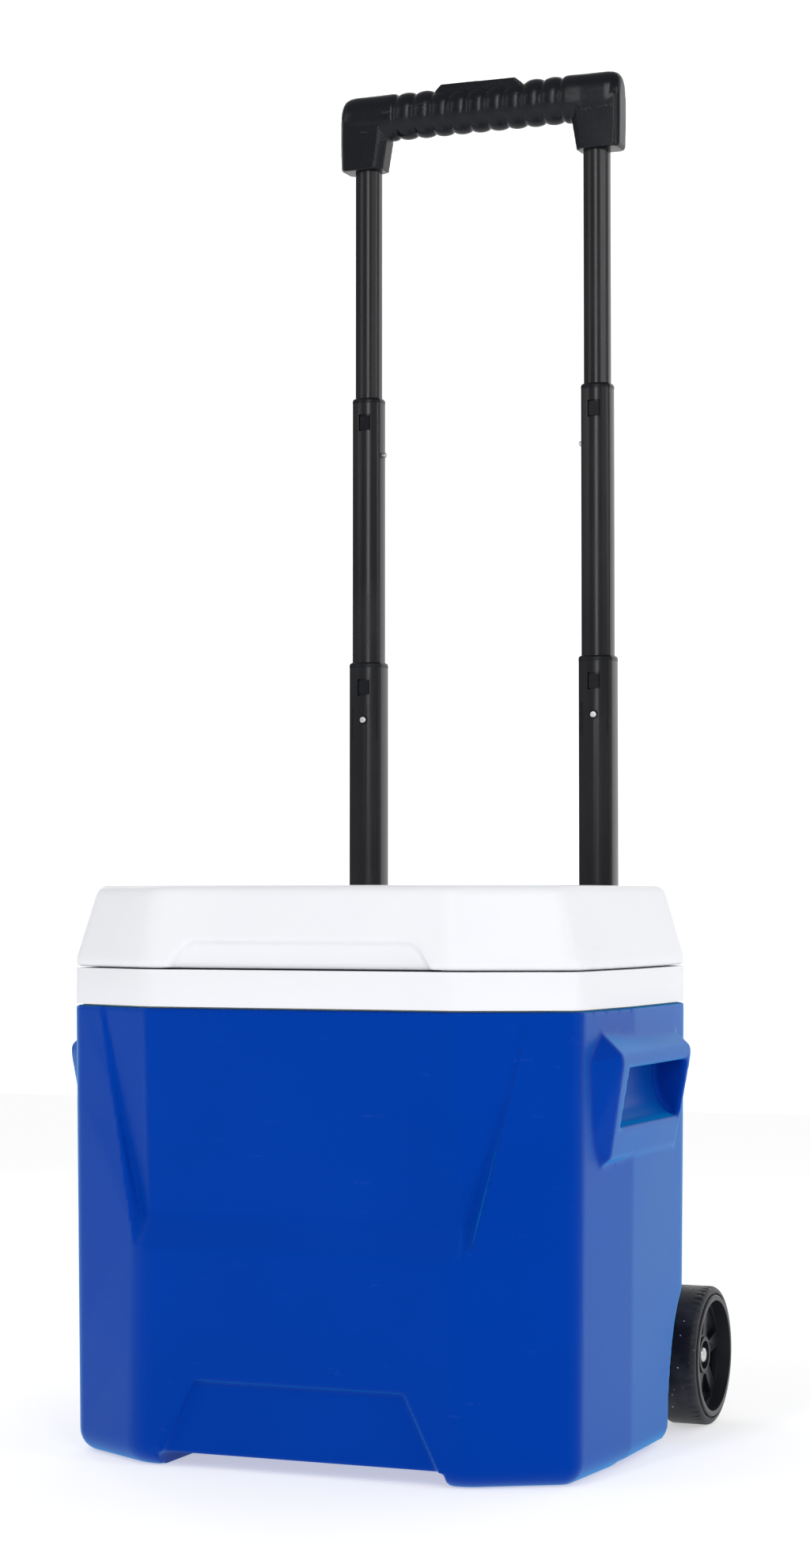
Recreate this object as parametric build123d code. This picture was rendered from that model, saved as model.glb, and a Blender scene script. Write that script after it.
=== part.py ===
from build123d import *

import math
import os

os.makedirs("parts", exist_ok=True)

# All sizes are in millimetres. X runs to the right, Y to the back and Z up.

# Body plan at the collar and at the floor: half widths in X, and Y of each corner
BODY_TOP = 303.5
FRONT_Y = -179.5
REAR_Y = 104.0
TOP_PLAN = ((112.0, FRONT_Y), (183.6, -145.5), (190.8, -55.0), (190.8, 62.0), (158.0, REAR_Y))
BASE_PLAN = ((117.0, FRONT_Y), (180.2, -142.7), (187.4, -55.0), (187.4, 62.0), (156.0, REAR_Y))
CORNER_RADII = (40.0, 15.0, 60.0, 28.0, 28.0)
BASE_ROUNDING = 14.0
SHELL_WALL = 2.5

# Collar and lid
COLLAR_BASE = 304.5
COLLAR_TOP = 329.0
LID_BASE = 330.0
LID_LIP = 6.0
LID_TOP = 385.0
LID_PLAN = ((108.0, -171.5), (169.6, -139.5), (176.8, -55.0), (176.8, 58.0), (152.0, 100.0))
LID_ROUNDING = 5.0
LID_WALL = 2.5
FINGER_RECESS_BASE = 98.0
FINGER_RECESS_TOP = 83.0
FINGER_RECESS_HEIGHT = 17.5
FINGER_RECESS_Y = -172.5

# Liner cavity, its rim outline and its floor outline
LINER_WALL = 2.5
CAVITY_FLOOR = 38.0
CAVITY_TOP_HALF = 163.0
CAVITY_TOP_Y = (-151.0, 78.0)
CAVITY_BASE_HALF = 136.0
CAVITY_BASE_Y = (-141.0, 66.0)
CAVITY_RADIUS = 26.0
PLUG_GAP = 3.5
PLUG_DEPTH = 18.0

# Lid hinge
PIVOT_Y = 102.0
PIVOT_Z = 343.0
HINGE_CENTRES = (-135.0, 135.0)
EAR_THICK = 6.0
EAR_RADIUS = 6.5
KNUCKLE_HALF = 11.6
HINGE_PIN_RADIUS = 2.0

# Recessed panels on the front
SHIELD_TOP_HALF = 166.0
SHIELD_LEDGE_HALF = 117.0
SHIELD_LEDGE_TOP = 158.0
SHIELD_LEDGE_BASE = 137.0
SHIELD_TOP_DEPTH = 1.2
SHIELD_LEDGE_DEPTH = 9.0
BASE_PANEL_TOP_HALF = 73.0
BASE_PANEL_HALF = 102.0
BASE_PANEL_TOP = 58.0
BASE_PANEL_DEPTH = 5.0
BASE_ARCH = 10.0
REAR_LIFT = 4.0
FOOT_END_Y = -68.0

# Side carrying handles
CARRY_Y = -38.5
CARRY_PROUD = 202.0
CARRY_TOP = 289.5
CARRY_LIP_TOP = 274.0
CARRY_LIP_BASE = 267.0
CARRY_BASE = 204.0
CARRY_HALF = 92.0
CARRY_LIP_HALF = 76.0
POCKET_HALF = 64.0
POCKET_TOP = 266.0
POCKET_BASE = 226.0
POCKET_BACK = 176.0

# Wheels and axle
WHEEL_Y = 121.3
WHEEL_RADIUS = 49.0
WHEEL_INNER_X = 162.7
WHEEL_OUTER_X = 193.4
TYRE_OUTER_X = 188.5
RIM_RADIUS = 43.0
DISH_RADIUS = 39.0
HUB_PLATE_X = (180.5, 184.5)
BOSS_RADIUS = 13.0
HUB_RECESS_RADIUS = 10.0
AXLE_RADIUS = 4.0
AXLE_GAP = 0.08
WHEEL_WELL_X = 156.0
WELL_CURVE = ((27, -5), (28, 20), (32, 52), (42, 82), (60, 104), (88, 116), (125, 118))

# Telescoping handle: width, depth and corner radius of each tube, from the fixed one up
TUBE_X = 93.0
TUBE_Y = 161.5
TUBE_WALL = 1.2
TUBE_BULGE = 0.8
FIXED_TUBE = (31.0, 28.0, 5.0)
LOWER_TUBE = (26.5, 23.5, 4.4)
MIDDLE_TUBE = (22.3, 19.5, 3.8)
UPPER_TUBE = (18.0, 15.0, 3.2)
FIXED_BASE = 76.0
FIXED_TOP = 310.0
LOWER_TOP = 553.4
MIDDLE_TOP = 757.8
OVERLAP = 55.0
PLUG_HEIGHT = 24.0
SPIGOT_HEIGHT = 16.0
COLLAR_CAP = 4.0
COLLAR_SLEEVE = 26.0
SLIDE_GAP = 0.3
WINDOW_WIDTH = 9.0
WINDOW_HEIGHT = 12.6
WINDOW_DROP = 9.0
FRONT_PIN_RADIUS = 2.5
FRONT_HOLE_RADIUS = 3.4
FRONT_PIN_PROUD = 1.2
SIDE_PIN_RADIUS = 2.0
SIDE_HOLE_RADIUS = 2.6
SIDE_PIN_PROUD = 3.6
PIN_GAP = 0.15
PIN_RISE = 14.7

# Grip and release button
GRIP_BASE = 933.8
GRIP_TOP = 989.0
GRIP_HALF = 117.5
BLOCK_BASE_X = 86.0
BLOCK_TOP_X = 78.0
GRIP_DEPTH = 32.0
BAR_Z = 970.5
VALLEY_RADIUS = 16.4
RIB_RADIUS = 18.0
RIB_COUNT = 9
RIB_PITCH = 14.9
GRIP_HOLLOW_RADIUS = 13.2
TUBE_SEAT_TOP = 960.0
BUTTON_HALF = 36.0
BUTTON_TOP = 993.0
BUTTON_BASE = 983.0
BUTTON_WIDTH = 15.0
BUTTON_GAP = 0.4
ROD_RADIUS = 1.6
ROD_BASE = 725.0
SPRING_X = 45.0


def face_of(points):
    """A flat face inside a closed run of points."""
    return make_face(Polyline(*points, close=True))


def along_x(points, start, end):
    """A prism of a side outline, given as Y and Z points, between two X values."""
    return extrude(Plane.YZ.offset(start) * face_of(points), end - start)


def along_y(points, start, end):
    """A prism of a front outline, given as X and Z points, between two Y values."""
    return extrude(Plane.XZ.offset(-end) * face_of(points), end - start)


def both_sides(shape):
    """The shape together with its mirror image across the YZ plane."""
    return [shape, mirror(shape, about=Plane.YZ)]


def block(x_range, y_range, z_range):
    """A box between three pairs of limits."""
    size = [high - low for low, high in (x_range, y_range, z_range)]
    middle = [(high + low) / 2 for low, high in (x_range, y_range, z_range)]
    return Pos(*middle) * Box(*size)


def rod_x(radius, start, end, y, z):
    """A cylinder along X between two X values."""
    return Pos((start + end) / 2, y, z) * Rot(0, 90, 0) * Cylinder(radius, end - start)


def rod_y(radius, start, end, x, z):
    """A cylinder along Y between two Y values."""
    return Pos(x, (start + end) / 2, z) * Rot(90, 0, 0) * Cylinder(radius, end - start)


def rod_z(radius, start, end, x, y):
    """A cylinder along Z between two heights."""
    return Pos(x, y, (start + end) / 2) * Cylinder(radius, end - start)


def shifted_line(first, second, distance):
    """A line through two points moved to its left by a distance, as a point and a direction."""
    run = (second[0] - first[0], second[1] - first[1])
    length = math.hypot(*run)
    normal = (-run[1] / length, run[0] / length)
    return (first[0] + normal[0] * distance, first[1] + normal[1] * distance), run


def crossing(one, two):
    """The point where two lines meet."""
    (x1, y1), (a1, b1) = one
    (x2, y2), (a2, b2) = two
    reach = ((x2 - x1) * b2 - (y2 - y1) * a2) / (a1 * b2 - b1 * a2)
    return x1 + a1 * reach, y1 + b1 * reach


def inset_points(points, distance):
    """A counter-clockwise outline moved inward by a distance."""
    count = len(points)
    sides = [shifted_line(points[i], points[(i + 1) % count], distance) for i in range(count)]
    return [crossing(sides[i - 1], sides[i]) for i in range(count)]


def full_plan(half, inset=0.0):
    """The whole outline from its right half, inset if asked."""
    right = list(half)
    left = [(-x, y) for x, y in reversed(right)]
    return inset_points(right + left, inset)


def blend_plan(share):
    """The body plan between the floor, at 0, and the collar, at 1."""
    return [
        (bx + (tx - bx) * share, by + (ty - by) * share)
        for (bx, by), (tx, ty) in zip(BASE_PLAN, TOP_PLAN)
    ]


def rounded_plan(half, height, inset=0.0):
    """A plan outline at a height with its corners rounded."""
    points = full_plan(half, inset)
    face = Plane.XY.offset(height) * face_of(points)
    radii = list(CORNER_RADII) + list(reversed(CORNER_RADII))
    for (x, y), radius in zip(points, radii):
        corner = face.vertices().sort_by_distance((x, y, height))[0]
        face = fillet(corner, max(radius - inset, 3.0))
    return face


def plan_solid(lower, upper, base, top, inset=0.0):
    """A solid whose outline changes evenly from one plan to another."""
    return loft([rounded_plan(lower, base, inset), rounded_plan(upper, top, inset)], ruled=True)


def box_outline(half, y_range, height, radius, grow=0.0):
    """A rounded rectangle centred on X at a height."""
    depth = y_range[1] - y_range[0]
    middle = (y_range[0] + y_range[1]) / 2
    shape = RectangleRounded(2 * (half + grow), depth + 2 * grow, radius + grow)
    return Pos(0, middle, height) * shape


def body_form(inset=0.0):
    """The outside of the blue body, or the space inside its wall."""
    base = inset
    share = base / BODY_TOP
    form = plan_solid(blend_plan(share), TOP_PLAN, base, BODY_TOP, inset)
    rim = form.edges().group_by(Axis.Z)[0]
    return fillet(rim, BASE_ROUNDING - inset)


def shield_cut(grow=0.0):
    """The sloping recessed panel on the front, which deepens down to a ledge."""
    half_top = SHIELD_TOP_HALF + grow
    half_base = SHIELD_LEDGE_HALF + grow
    window = [
        (-half_top, BODY_TOP + 1),
        (half_top, BODY_TOP + 1),
        (half_base, SHIELD_LEDGE_BASE - grow),
        (-half_base, SHIELD_LEDGE_BASE - grow),
    ]
    frame = along_y(window, FRONT_Y - 20, -100)
    levels = (
        (SHIELD_LEDGE_BASE - 30, -1.0),
        (SHIELD_LEDGE_BASE - grow, 0.0),
        (SHIELD_LEDGE_TOP - grow, SHIELD_LEDGE_DEPTH + grow),
        (BODY_TOP + 2, SHIELD_TOP_DEPTH + grow),
    )
    keep = None
    for (low, near), (high, far) in zip(levels, levels[1:]):
        lower = Plane.XY.offset(low) * face_of(full_plan(blend_plan(low / BODY_TOP), near))
        upper = Plane.XY.offset(high) * face_of(full_plan(blend_plan(high / BODY_TOP), far))
        part = loft([lower, upper], ruled=True)
        keep = part if keep is None else keep + part
    return frame - keep


def base_panel_cut(grow=0.0):
    """The shallow recess low on the front, between the two feet."""
    points = [
        (-BASE_PANEL_HALF - grow, -1),
        (BASE_PANEL_HALF + grow, -1),
        (BASE_PANEL_TOP_HALF + grow, BASE_PANEL_TOP + grow),
        (-BASE_PANEL_TOP_HALF - grow, BASE_PANEL_TOP + grow),
    ]
    return along_y(points, FRONT_Y - 5, FRONT_Y + BASE_PANEL_DEPTH + grow)


def base_cuts(grow=0.0):
    """The raised middle of the base and the lifted part behind the feet."""
    middle = block((-BASE_PANEL_HALF, BASE_PANEL_HALF), (-200, 200), (-5, BASE_ARCH + grow))
    rear = block((-200, 200), (FOOT_END_Y - grow, 200), (-5, REAR_LIFT + grow))
    return [middle, rear]


def moved_curve(points, distance):
    """The points of an open curve, each moved to the curve's left."""
    moved = []
    for place, (y, z) in enumerate(points):
        before = points[max(place - 1, 0)]
        after = points[min(place + 1, len(points) - 1)]
        run = (after[0] - before[0], after[1] - before[1])
        length = math.hypot(*run)
        moved.append((y - run[1] / length * distance, z + run[0] / length * distance))
    return moved


def wheel_well(grow=0.0):
    """The space for the wheel behind the curved end of a side wall."""
    points = moved_curve(WELL_CURVE, grow)
    walls = Polyline(points[-1], (points[-1][0], -5), points[0])
    face = make_face([Spline(*points), walls])
    return extrude(Plane.YZ.offset(WHEEL_WELL_X - grow) * face, 60)


def carry_housing():
    """The hood of the right side handle that stands out from the wall."""
    profile = [
        (170, CARRY_TOP + 14),
        (181, CARRY_TOP + 14),
        (CARRY_PROUD - 0.8, CARRY_LIP_TOP + 1),
        (CARRY_PROUD, CARRY_LIP_TOP - 1),
        (CARRY_PROUD, CARRY_LIP_BASE),
        (188.5, CARRY_BASE),
        (170, CARRY_BASE - 14),
    ]
    hood = along_y(profile, CARRY_Y - CARRY_HALF, CARRY_Y + CARRY_HALF)
    for side in (-1, 1):
        flank = Plane(
            origin=(CARRY_PROUD, CARRY_Y + side * CARRY_LIP_HALF, CARRY_LIP_TOP),
            z_dir=Vector(CARRY_HALF - CARRY_LIP_HALF, side * (CARRY_PROUD - 190.0), -2.2),
        )
        hood = split(hood, bisect_by=flank, keep=Keep.BOTTOM)
        shoulder = Plane(
            origin=(CARRY_PROUD, CARRY_Y + side * CARRY_LIP_HALF, CARRY_LIP_TOP),
            z_dir=Vector(12.0, side * 14.0, 15.0),
        )
        hood = split(hood, bisect_by=shoulder, keep=Keep.BOTTOM)
    return hood


def carry_pocket(grow=0.0):
    """The finger space under the lip of the right side handle."""
    profile = [
        (215, POCKET_TOP),
        (CARRY_PROUD - 6, POCKET_TOP),
        (CARRY_PROUD - 7, POCKET_TOP + 5),
        (POCKET_BACK + 4, POCKET_TOP + 5 + grow),
        (POCKET_BACK - grow, POCKET_TOP - 4),
        (POCKET_BACK + 1 - grow, POCKET_BASE + 18),
        (POCKET_BACK + 10, POCKET_BASE + 3 - grow),
        (POCKET_BACK + 18, POCKET_BASE - grow),
        (215, POCKET_BASE - grow),
    ]
    half = POCKET_HALF + grow
    return along_y(profile, CARRY_Y - half, CARRY_Y + half)


def cavity(grow=0.0):
    """The food space of the liner, or the outside of its wall."""
    floor = box_outline(CAVITY_BASE_HALF, CAVITY_BASE_Y, CAVITY_FLOOR - grow, CAVITY_RADIUS, grow)
    rim = box_outline(CAVITY_TOP_HALF, CAVITY_TOP_Y, COLLAR_TOP, CAVITY_RADIUS, grow)
    form = loft([floor, rim], ruled=True)
    return fillet(form.edges().group_by(Axis.Z)[0], 16.0 + grow)


def shank(x, z, face_y, length):
    """The threaded length of a screw driven forward into the back of the body."""
    return rod_y(2.0, face_y - length, face_y, x, z)


def fastener(x, z, face_y, length):
    """A pan head screw with its shank."""
    head = rod_y(4.2, face_y, face_y + 2.6, x, z)
    slot = Pos(x, face_y + 2.6, z) * Box(5.4, 1.6, 1.0)
    cross = Pos(x, face_y + 2.6, z) * Box(1.0, 1.6, 5.4)
    return head + shank(x, z, face_y, length) - slot - cross


def oval(size, grow=0.0):
    """A flat-sided tube outline with a slightly bowed front and back."""
    width, depth, radius = size
    half_width = width / 2 + grow
    half_depth = depth / 2 + grow
    near = half_depth - TUBE_BULGE
    front = ThreePointArc((-half_width, -near), (0, -half_depth), (half_width, -near))
    right = Line((half_width, -near), (half_width, near))
    back = ThreePointArc((half_width, near), (0, half_depth), (-half_width, near))
    left = Line((-half_width, near), (-half_width, -near))
    face = make_face([front, right, back, left])
    return fillet(face.vertices(), max(radius + grow, 0.8))


def tube_length(size, base, top, grow=0.0):
    """A solid length of the tube outline standing on the right tube axis."""
    return extrude(Pos(TUBE_X, TUBE_Y, base) * oval(size, grow), top - base)


def hollow_tube(size, base, top):
    """A metal tube on the right tube axis."""
    return tube_length(size, base, top) - tube_length(size, base - 1, top + 1, -TUBE_WALL)


def front_window(top, size):
    """The snap window in the front face of a tube below its collar."""
    y = TUBE_Y - size[1] / 2
    z = top - WINDOW_DROP - WINDOW_HEIGHT / 2
    return Pos(TUBE_X, y, z) * Box(WINDOW_WIDTH, 5.0, WINDOW_HEIGHT)


def collar_bush(size, inner, top):
    """The plastic cap and sleeve at the top of a tube that guides the next tube."""
    cap = tube_length(size, top - COLLAR_CAP, top)
    shoulder = cap.edges().group_by(Axis.Z)[-1]
    cap = fillet(shoulder, 1.8)
    sleeve = tube_length(size, top - COLLAR_SLEEVE, top - COLLAR_CAP, -TUBE_WALL)
    tab_y = TUBE_Y - size[1] / 2 + 0.9
    tab_z = top - WINDOW_DROP - WINDOW_HEIGHT / 2
    tab = Pos(TUBE_X, tab_y, tab_z) * Box(WINDOW_WIDTH - 0.6, 1.4, WINDOW_HEIGHT - 0.6)
    bore = tube_length(inner, top - COLLAR_SLEEVE - 1, top + 1, SLIDE_GAP)
    return cap + sleeve + tab - bore


def end_plug(size, outer, base):
    """The guide plug under a sliding tube, with its spigot inside the tube."""
    guide = tube_length(outer, base, base + PLUG_HEIGHT, -TUBE_WALL - SLIDE_GAP)
    spigot = tube_length(size, base + PLUG_HEIGHT, base + PLUG_HEIGHT + SPIGOT_HEIGHT, -TUBE_WALL)
    return guide + spigot


def side_pin(outer, base):
    """A snap pin that points at the middle of the handle, on the right tube."""
    tip = TUBE_X - outer[0] / 2 - SIDE_PIN_PROUD
    pin = rod_x(SIDE_PIN_RADIUS, tip, TUBE_X - 2.0, TUBE_Y, base + PIN_RISE)
    return fillet(pin.edges().sort_by(Axis.X)[0], 1.0)


def front_pin(outer, base):
    """A snap pin that points to the front, on the right tube."""
    tip = TUBE_Y - outer[1] / 2 - FRONT_PIN_PROUD
    pin = rod_y(FRONT_PIN_RADIUS, tip, TUBE_Y + 1.0, TUBE_X, base + PIN_RISE)
    return fillet(pin.edges().sort_by(Axis.Y)[0], 1.0)


def front_pin_plug(size, outer, base):
    """An end plug bored for a pin that points to the front."""
    start = TUBE_Y - outer[1] / 2 - 2
    bore = rod_y(FRONT_PIN_RADIUS + PIN_GAP, start, TUBE_Y + 7, TUBE_X, base + PIN_RISE)
    return end_plug(size, outer, base) - bore


def front_pin_tube(size, outer_base, top, plug_base):
    """A tube with its snap window and the hole that takes the pin of the next tube."""
    tube = hollow_tube(size, outer_base, top - COLLAR_CAP) - front_window(top, size)
    hole_start = TUBE_Y - size[1] / 2 - 2
    return tube - rod_y(FRONT_HOLE_RADIUS, hole_start, TUBE_Y, TUBE_X, plug_base + PIN_RISE)


def bracket(plate, sleeve_z, arm_z, bore_z):
    """A bracket that holds both fixed tubes behind the body."""
    for sleeve in both_sides(tube_length(FIXED_TUBE, *sleeve_z, 3.0)):
        plate = plate + sleeve
    for arm in both_sides(block((80, 106), (REAR_Y, 152), arm_z)):
        plate = plate + arm
    for bore in both_sides(tube_length(FIXED_TUBE, *bore_z)):
        plate = plate - bore
    return plate


def lid_form(inset=0.0):
    """The outside of the lid, or the space inside its wall."""
    lip = plan_solid(TOP_PLAN, TOP_PLAN, LID_BASE, LID_BASE + LID_LIP, inset)
    crown = plan_solid(TOP_PLAN, LID_PLAN, LID_BASE + LID_LIP, LID_TOP - inset, inset)
    if not inset:
        crown = fillet(crown.edges().group_by(Axis.Z)[-1], LID_ROUNDING)
    return lip + crown


def finger_recess(grow=0.0):
    """The finger recess under a ledge in the lid's front edge."""
    points = [
        (-FINGER_RECESS_BASE - grow, LID_BASE - 1),
        (FINGER_RECESS_BASE + grow, LID_BASE - 1),
        (FINGER_RECESS_TOP + grow, LID_BASE + FINGER_RECESS_HEIGHT + grow),
        (-FINGER_RECESS_TOP - grow, LID_BASE + FINGER_RECESS_HEIGHT + grow),
    ]
    return along_y(points, FRONT_Y - 5, FINGER_RECESS_Y + grow)


def hinge_pocket(centre, grow=0.0):
    """The space in the lid's back edge around one hinge."""
    x_range = (centre - 21 - grow, centre + 21 + grow)
    return block(x_range, (90 - grow, REAR_Y + 8), (LID_BASE - 1, 356 + grow))


def hinge_ears(centre):
    """The two ears on the collar at one hinge."""
    ears = []
    for side in (-1, 1):
        near = centre + side * 12.0
        far = centre + side * (12.0 + EAR_THICK)
        limits = (min(near, far), max(near, far))
        ears.append(block(limits, (PIVOT_Y - EAR_RADIUS, REAR_Y), (COLLAR_TOP - 3, PIVOT_Z)))
        ears.append(rod_x(EAR_RADIUS, *limits, PIVOT_Y, PIVOT_Z))
    return ears


def hinge_knuckle(centre):
    """The part of the lid that turns between the ears of one hinge."""
    limits = (centre - KNUCKLE_HALF, centre + KNUCKLE_HALF)
    web = block(limits, (88, PIVOT_Y), (PIVOT_Z - 6, PIVOT_Z + 6))
    return web + rod_x(EAR_RADIUS - 0.2, *limits, PIVOT_Y, PIVOT_Z)


def hub_window(turn):
    """One opening between two spokes of the right hub."""
    points = [(14.6, 3.2), (35.0, 13.5), (35.0, -13.5), (14.6, -3.2)]
    face = fillet(face_of(points).vertices(), 2.0)
    opening = extrude(Rot(0, 0, turn) * face, 20)
    return Pos(170, WHEEL_Y, WHEEL_RADIUS) * Rot(0, 90, 0) * opening


def wheel_hub():
    """The moulded hub of the right wheel, with its rim, spokes and boss."""
    plate = rod_x(DISH_RADIUS + 0.5, *HUB_PLATE_X, WHEEL_Y, WHEEL_RADIUS)
    for step in range(6):
        plate = plate - hub_window(60 * step + 12)
    rim = rod_x(RIM_RADIUS, WHEEL_INNER_X, WHEEL_OUTER_X, WHEEL_Y, WHEEL_RADIUS)
    rim = fillet(rim.edges().sort_by(Axis.X)[-1], 1.2)
    rim = rim - rod_x(DISH_RADIUS, WHEEL_INNER_X - 1, WHEEL_OUTER_X + 1, WHEEL_Y, WHEEL_RADIUS)
    boss = rod_x(BOSS_RADIUS, 164.5, 186, WHEEL_Y, WHEEL_RADIUS)
    hub = rim + plate + boss
    hub = hub - rod_x(HUB_RECESS_RADIUS, 180, 190, WHEEL_Y, WHEEL_RADIUS)
    return hub - rod_x(AXLE_RADIUS + AXLE_GAP, 160, 190, WHEEL_Y, WHEEL_RADIUS)


def tyre():
    """The tread ring of the right wheel."""
    ring = rod_x(WHEEL_RADIUS, WHEEL_INNER_X, TYRE_OUTER_X, WHEEL_Y, WHEEL_RADIUS)
    ring = fillet(ring.edges(), 2.4)
    return ring - rod_x(RIM_RADIUS, WHEEL_INNER_X - 1, TYRE_OUTER_X + 1, WHEEL_Y, WHEEL_RADIUS)


def axle_cap():
    """The domed push cap on the right end of the axle."""
    cap = rod_x(5.5, 180.4, 186.0, WHEEL_Y, WHEEL_RADIUS)
    cap = fillet(cap.edges().sort_by(Axis.X)[-1], 2.2)
    return cap - rod_x(AXLE_RADIUS, 180, 184, WHEEL_Y, WHEEL_RADIUS)


def ribbed_bar():
    """The solid form of the grip bar with its rounded ribs."""
    start = -RIB_COUNT * RIB_PITCH / 2
    outline = [
        Line((-84, 0), (-84, VALLEY_RADIUS + 0.6)),
        Line((-84, VALLEY_RADIUS + 0.6), (start, VALLEY_RADIUS)),
    ]
    for step in range(RIB_COUNT):
        left = start + step * RIB_PITCH
        outline.append(
            ThreePointArc(
                (left, VALLEY_RADIUS),
                (left + RIB_PITCH / 2, RIB_RADIUS),
                (left + RIB_PITCH, VALLEY_RADIUS),
            )
        )
    outline.append(Line((-start, VALLEY_RADIUS), (84, VALLEY_RADIUS + 0.6)))
    outline.append(Line((84, VALLEY_RADIUS + 0.6), (84, 0)))
    outline.append(Line((84, 0), (-84, 0)))
    bar = revolve(make_face(outline), axis=Axis.X, revolution_arc=360)
    return Pos(0, TUBE_Y, BAR_Z) * bar


def grip_block():
    """The solid right end of the grip, wider at the top than at the tube."""
    points = [
        (BLOCK_BASE_X, GRIP_BASE),
        (GRIP_HALF - 1.5, GRIP_BASE),
        (GRIP_HALF, GRIP_BASE + 20),
        (GRIP_HALF, GRIP_TOP - 5),
        (GRIP_HALF - 7, GRIP_TOP),
        (BLOCK_TOP_X, GRIP_TOP),
        (BLOCK_TOP_X + 2, GRIP_BASE + 18),
    ]
    form = along_y(points, TUBE_Y - GRIP_DEPTH / 2, TUBE_Y + GRIP_DEPTH / 2)
    return fillet(form.edges().filter_by(Axis.Y), 2.5)


def grip_form():
    """The hollow grip, with its button slot and tube seats, before it is split in two."""
    form = ribbed_bar()
    for end in both_sides(grip_block()):
        form = form + end
    for seat in both_sides(tube_length(UPPER_TUBE, GRIP_BASE - 1, TUBE_SEAT_TOP)):
        form = form - seat
    for room in both_sides(block((76, 104), (152, 174), (TUBE_SEAT_TOP, 984))):
        form = form - room
    form = form - rod_x(GRIP_HOLLOW_RADIUS, -90, 90, TUBE_Y, BAR_Z)
    reach = BUTTON_WIDTH / 2 + BUTTON_GAP
    half = BUTTON_HALF + BUTTON_GAP
    return form - block((-half, half), (TUBE_Y - reach, TUBE_Y + reach), (BAR_Z + 5, 1000))


def grip_screw(x, z):
    """A screw sunk in the back of the grip that joins its two halves."""
    face_y = TUBE_Y + GRIP_DEPTH / 2
    head = rod_y(2.6, face_y - 2.6, face_y - 0.4, x, z)
    return head + rod_y(1.3, face_y - 24, face_y - 2.6, x, z)


def release_button():
    """The long button on the grip with its cross beam and the two release rods."""
    half_y = BUTTON_WIDTH / 2
    top = [
        (-BUTTON_HALF, BUTTON_BASE),
        (BUTTON_HALF, BUTTON_BASE),
        (BUTTON_HALF, BUTTON_BASE + 3),
        (BUTTON_HALF - 6, BUTTON_TOP),
        (-BUTTON_HALF + 6, BUTTON_TOP),
        (-BUTTON_HALF, BUTTON_BASE + 3),
    ]
    key = along_y(top, TUBE_Y - half_y, TUBE_Y + half_y)
    key = fillet(key.edges().group_by(Axis.Z)[-1], 1.5)
    stem = block((-28, 28), (TUBE_Y - 4, TUBE_Y + 4), (970, BUTTON_BASE + 1))
    beam = block((-97, 97), (TUBE_Y - 5, TUBE_Y + 5), (966, 972))
    button = key + stem + beam
    for rod in both_sides(rod_z(ROD_RADIUS, ROD_BASE, 968, TUBE_X, TUBE_Y)):
        button = button + rod
    return button


def return_spring(x):
    """A coil spring under the button's cross beam."""
    coil = Helix(pitch=1.9, height=6.6, radius=3.0)
    wire = sweep(Plane(coil @ 0, z_dir=coil % 0) * Circle(0.45), path=coil)
    return Pos(x, TUBE_Y, 958.7) * wire


def add_pair(parts, name, shape):
    """Stores a right-hand piece and its mirror image under two names."""
    right, left = both_sides(shape)
    parts[name + "_right"] = right
    parts[name + "_left"] = left


def group(shapes):
    """Several separate solids kept together as one piece."""
    return Compound(children=[solid for shape in shapes for solid in shape.solids()])


parts = {}

# Body shell, with both side handles and the wheel wells
outside = body_form()
space = body_form(SHELL_WALL)
for hood in both_sides(carry_housing()):
    outside = outside + hood
side_cuts = both_sides(carry_pocket()) + both_sides(wheel_well())
for cut in [shield_cut(), base_panel_cut()] + base_cuts() + side_cuts:
    outside = outside - cut
side_guards = both_sides(carry_pocket(SHELL_WALL)) + both_sides(wheel_well(SHELL_WALL))
guards = [shield_cut(SHELL_WALL), base_panel_cut(SHELL_WALL)] + base_cuts(SHELL_WALL)
for guard in guards + side_guards:
    space = space - guard
shell = outside - space
upper_places = [(x, 227, REAR_Y + 4, 18) for x in (-64, -26, 26, 64)]
lower_places = [(x, 64, 142, 52) for x in (-125, -50, 50, 125)]
for place in upper_places + lower_places:
    shell = shell - shank(*place)

# Liner with its collar and hinge ears, and the foam around it
rim = plan_solid(TOP_PLAN, TOP_PLAN, COLLAR_BASE, COLLAR_TOP)
rim_space = plan_solid(TOP_PLAN, TOP_PLAN, BODY_TOP, COLLAR_TOP - 3, LINER_WALL)
liner = rim - rim_space + cavity(LINER_WALL)
for centre in HINGE_CENTRES:
    for ear in hinge_ears(centre):
        liner = liner + ear
liner = liner - cavity()
foam = space + rim_space - cavity(LINER_WALL)
for place in upper_places + lower_places:
    foam = foam - shank(*place)

# Lid, its inner pan and its foam
lid = lid_form()
lid_space = lid_form(LID_WALL) + plan_solid(TOP_PLAN, TOP_PLAN, LID_BASE - 1, LID_BASE, LID_WALL)
pan = plan_solid(TOP_PLAN, TOP_PLAN, LID_BASE, LID_BASE + 2.5, LID_WALL)
lid_room = lid_form(LID_WALL) - block((-250, 250), (-250, 250), (300, LID_BASE + 2.5))
lid = lid - finger_recess()
lid_space = lid_space - finger_recess(LID_WALL)
lid_room = lid_room - finger_recess(LID_WALL)
pan = pan - finger_recess(LID_WALL)
for centre in HINGE_CENTRES:
    lid = lid - hinge_pocket(centre)
    lid_space = lid_space - hinge_pocket(centre, LID_WALL)
    lid_room = lid_room - hinge_pocket(centre, LID_WALL)
    pan = pan - hinge_pocket(centre, LID_WALL)
lid = lid - lid_space
for centre in HINGE_CENTRES:
    lid = lid + (hinge_knuckle(centre) - lid_space)
plug_half = CAVITY_TOP_HALF - PLUG_GAP - 1
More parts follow.
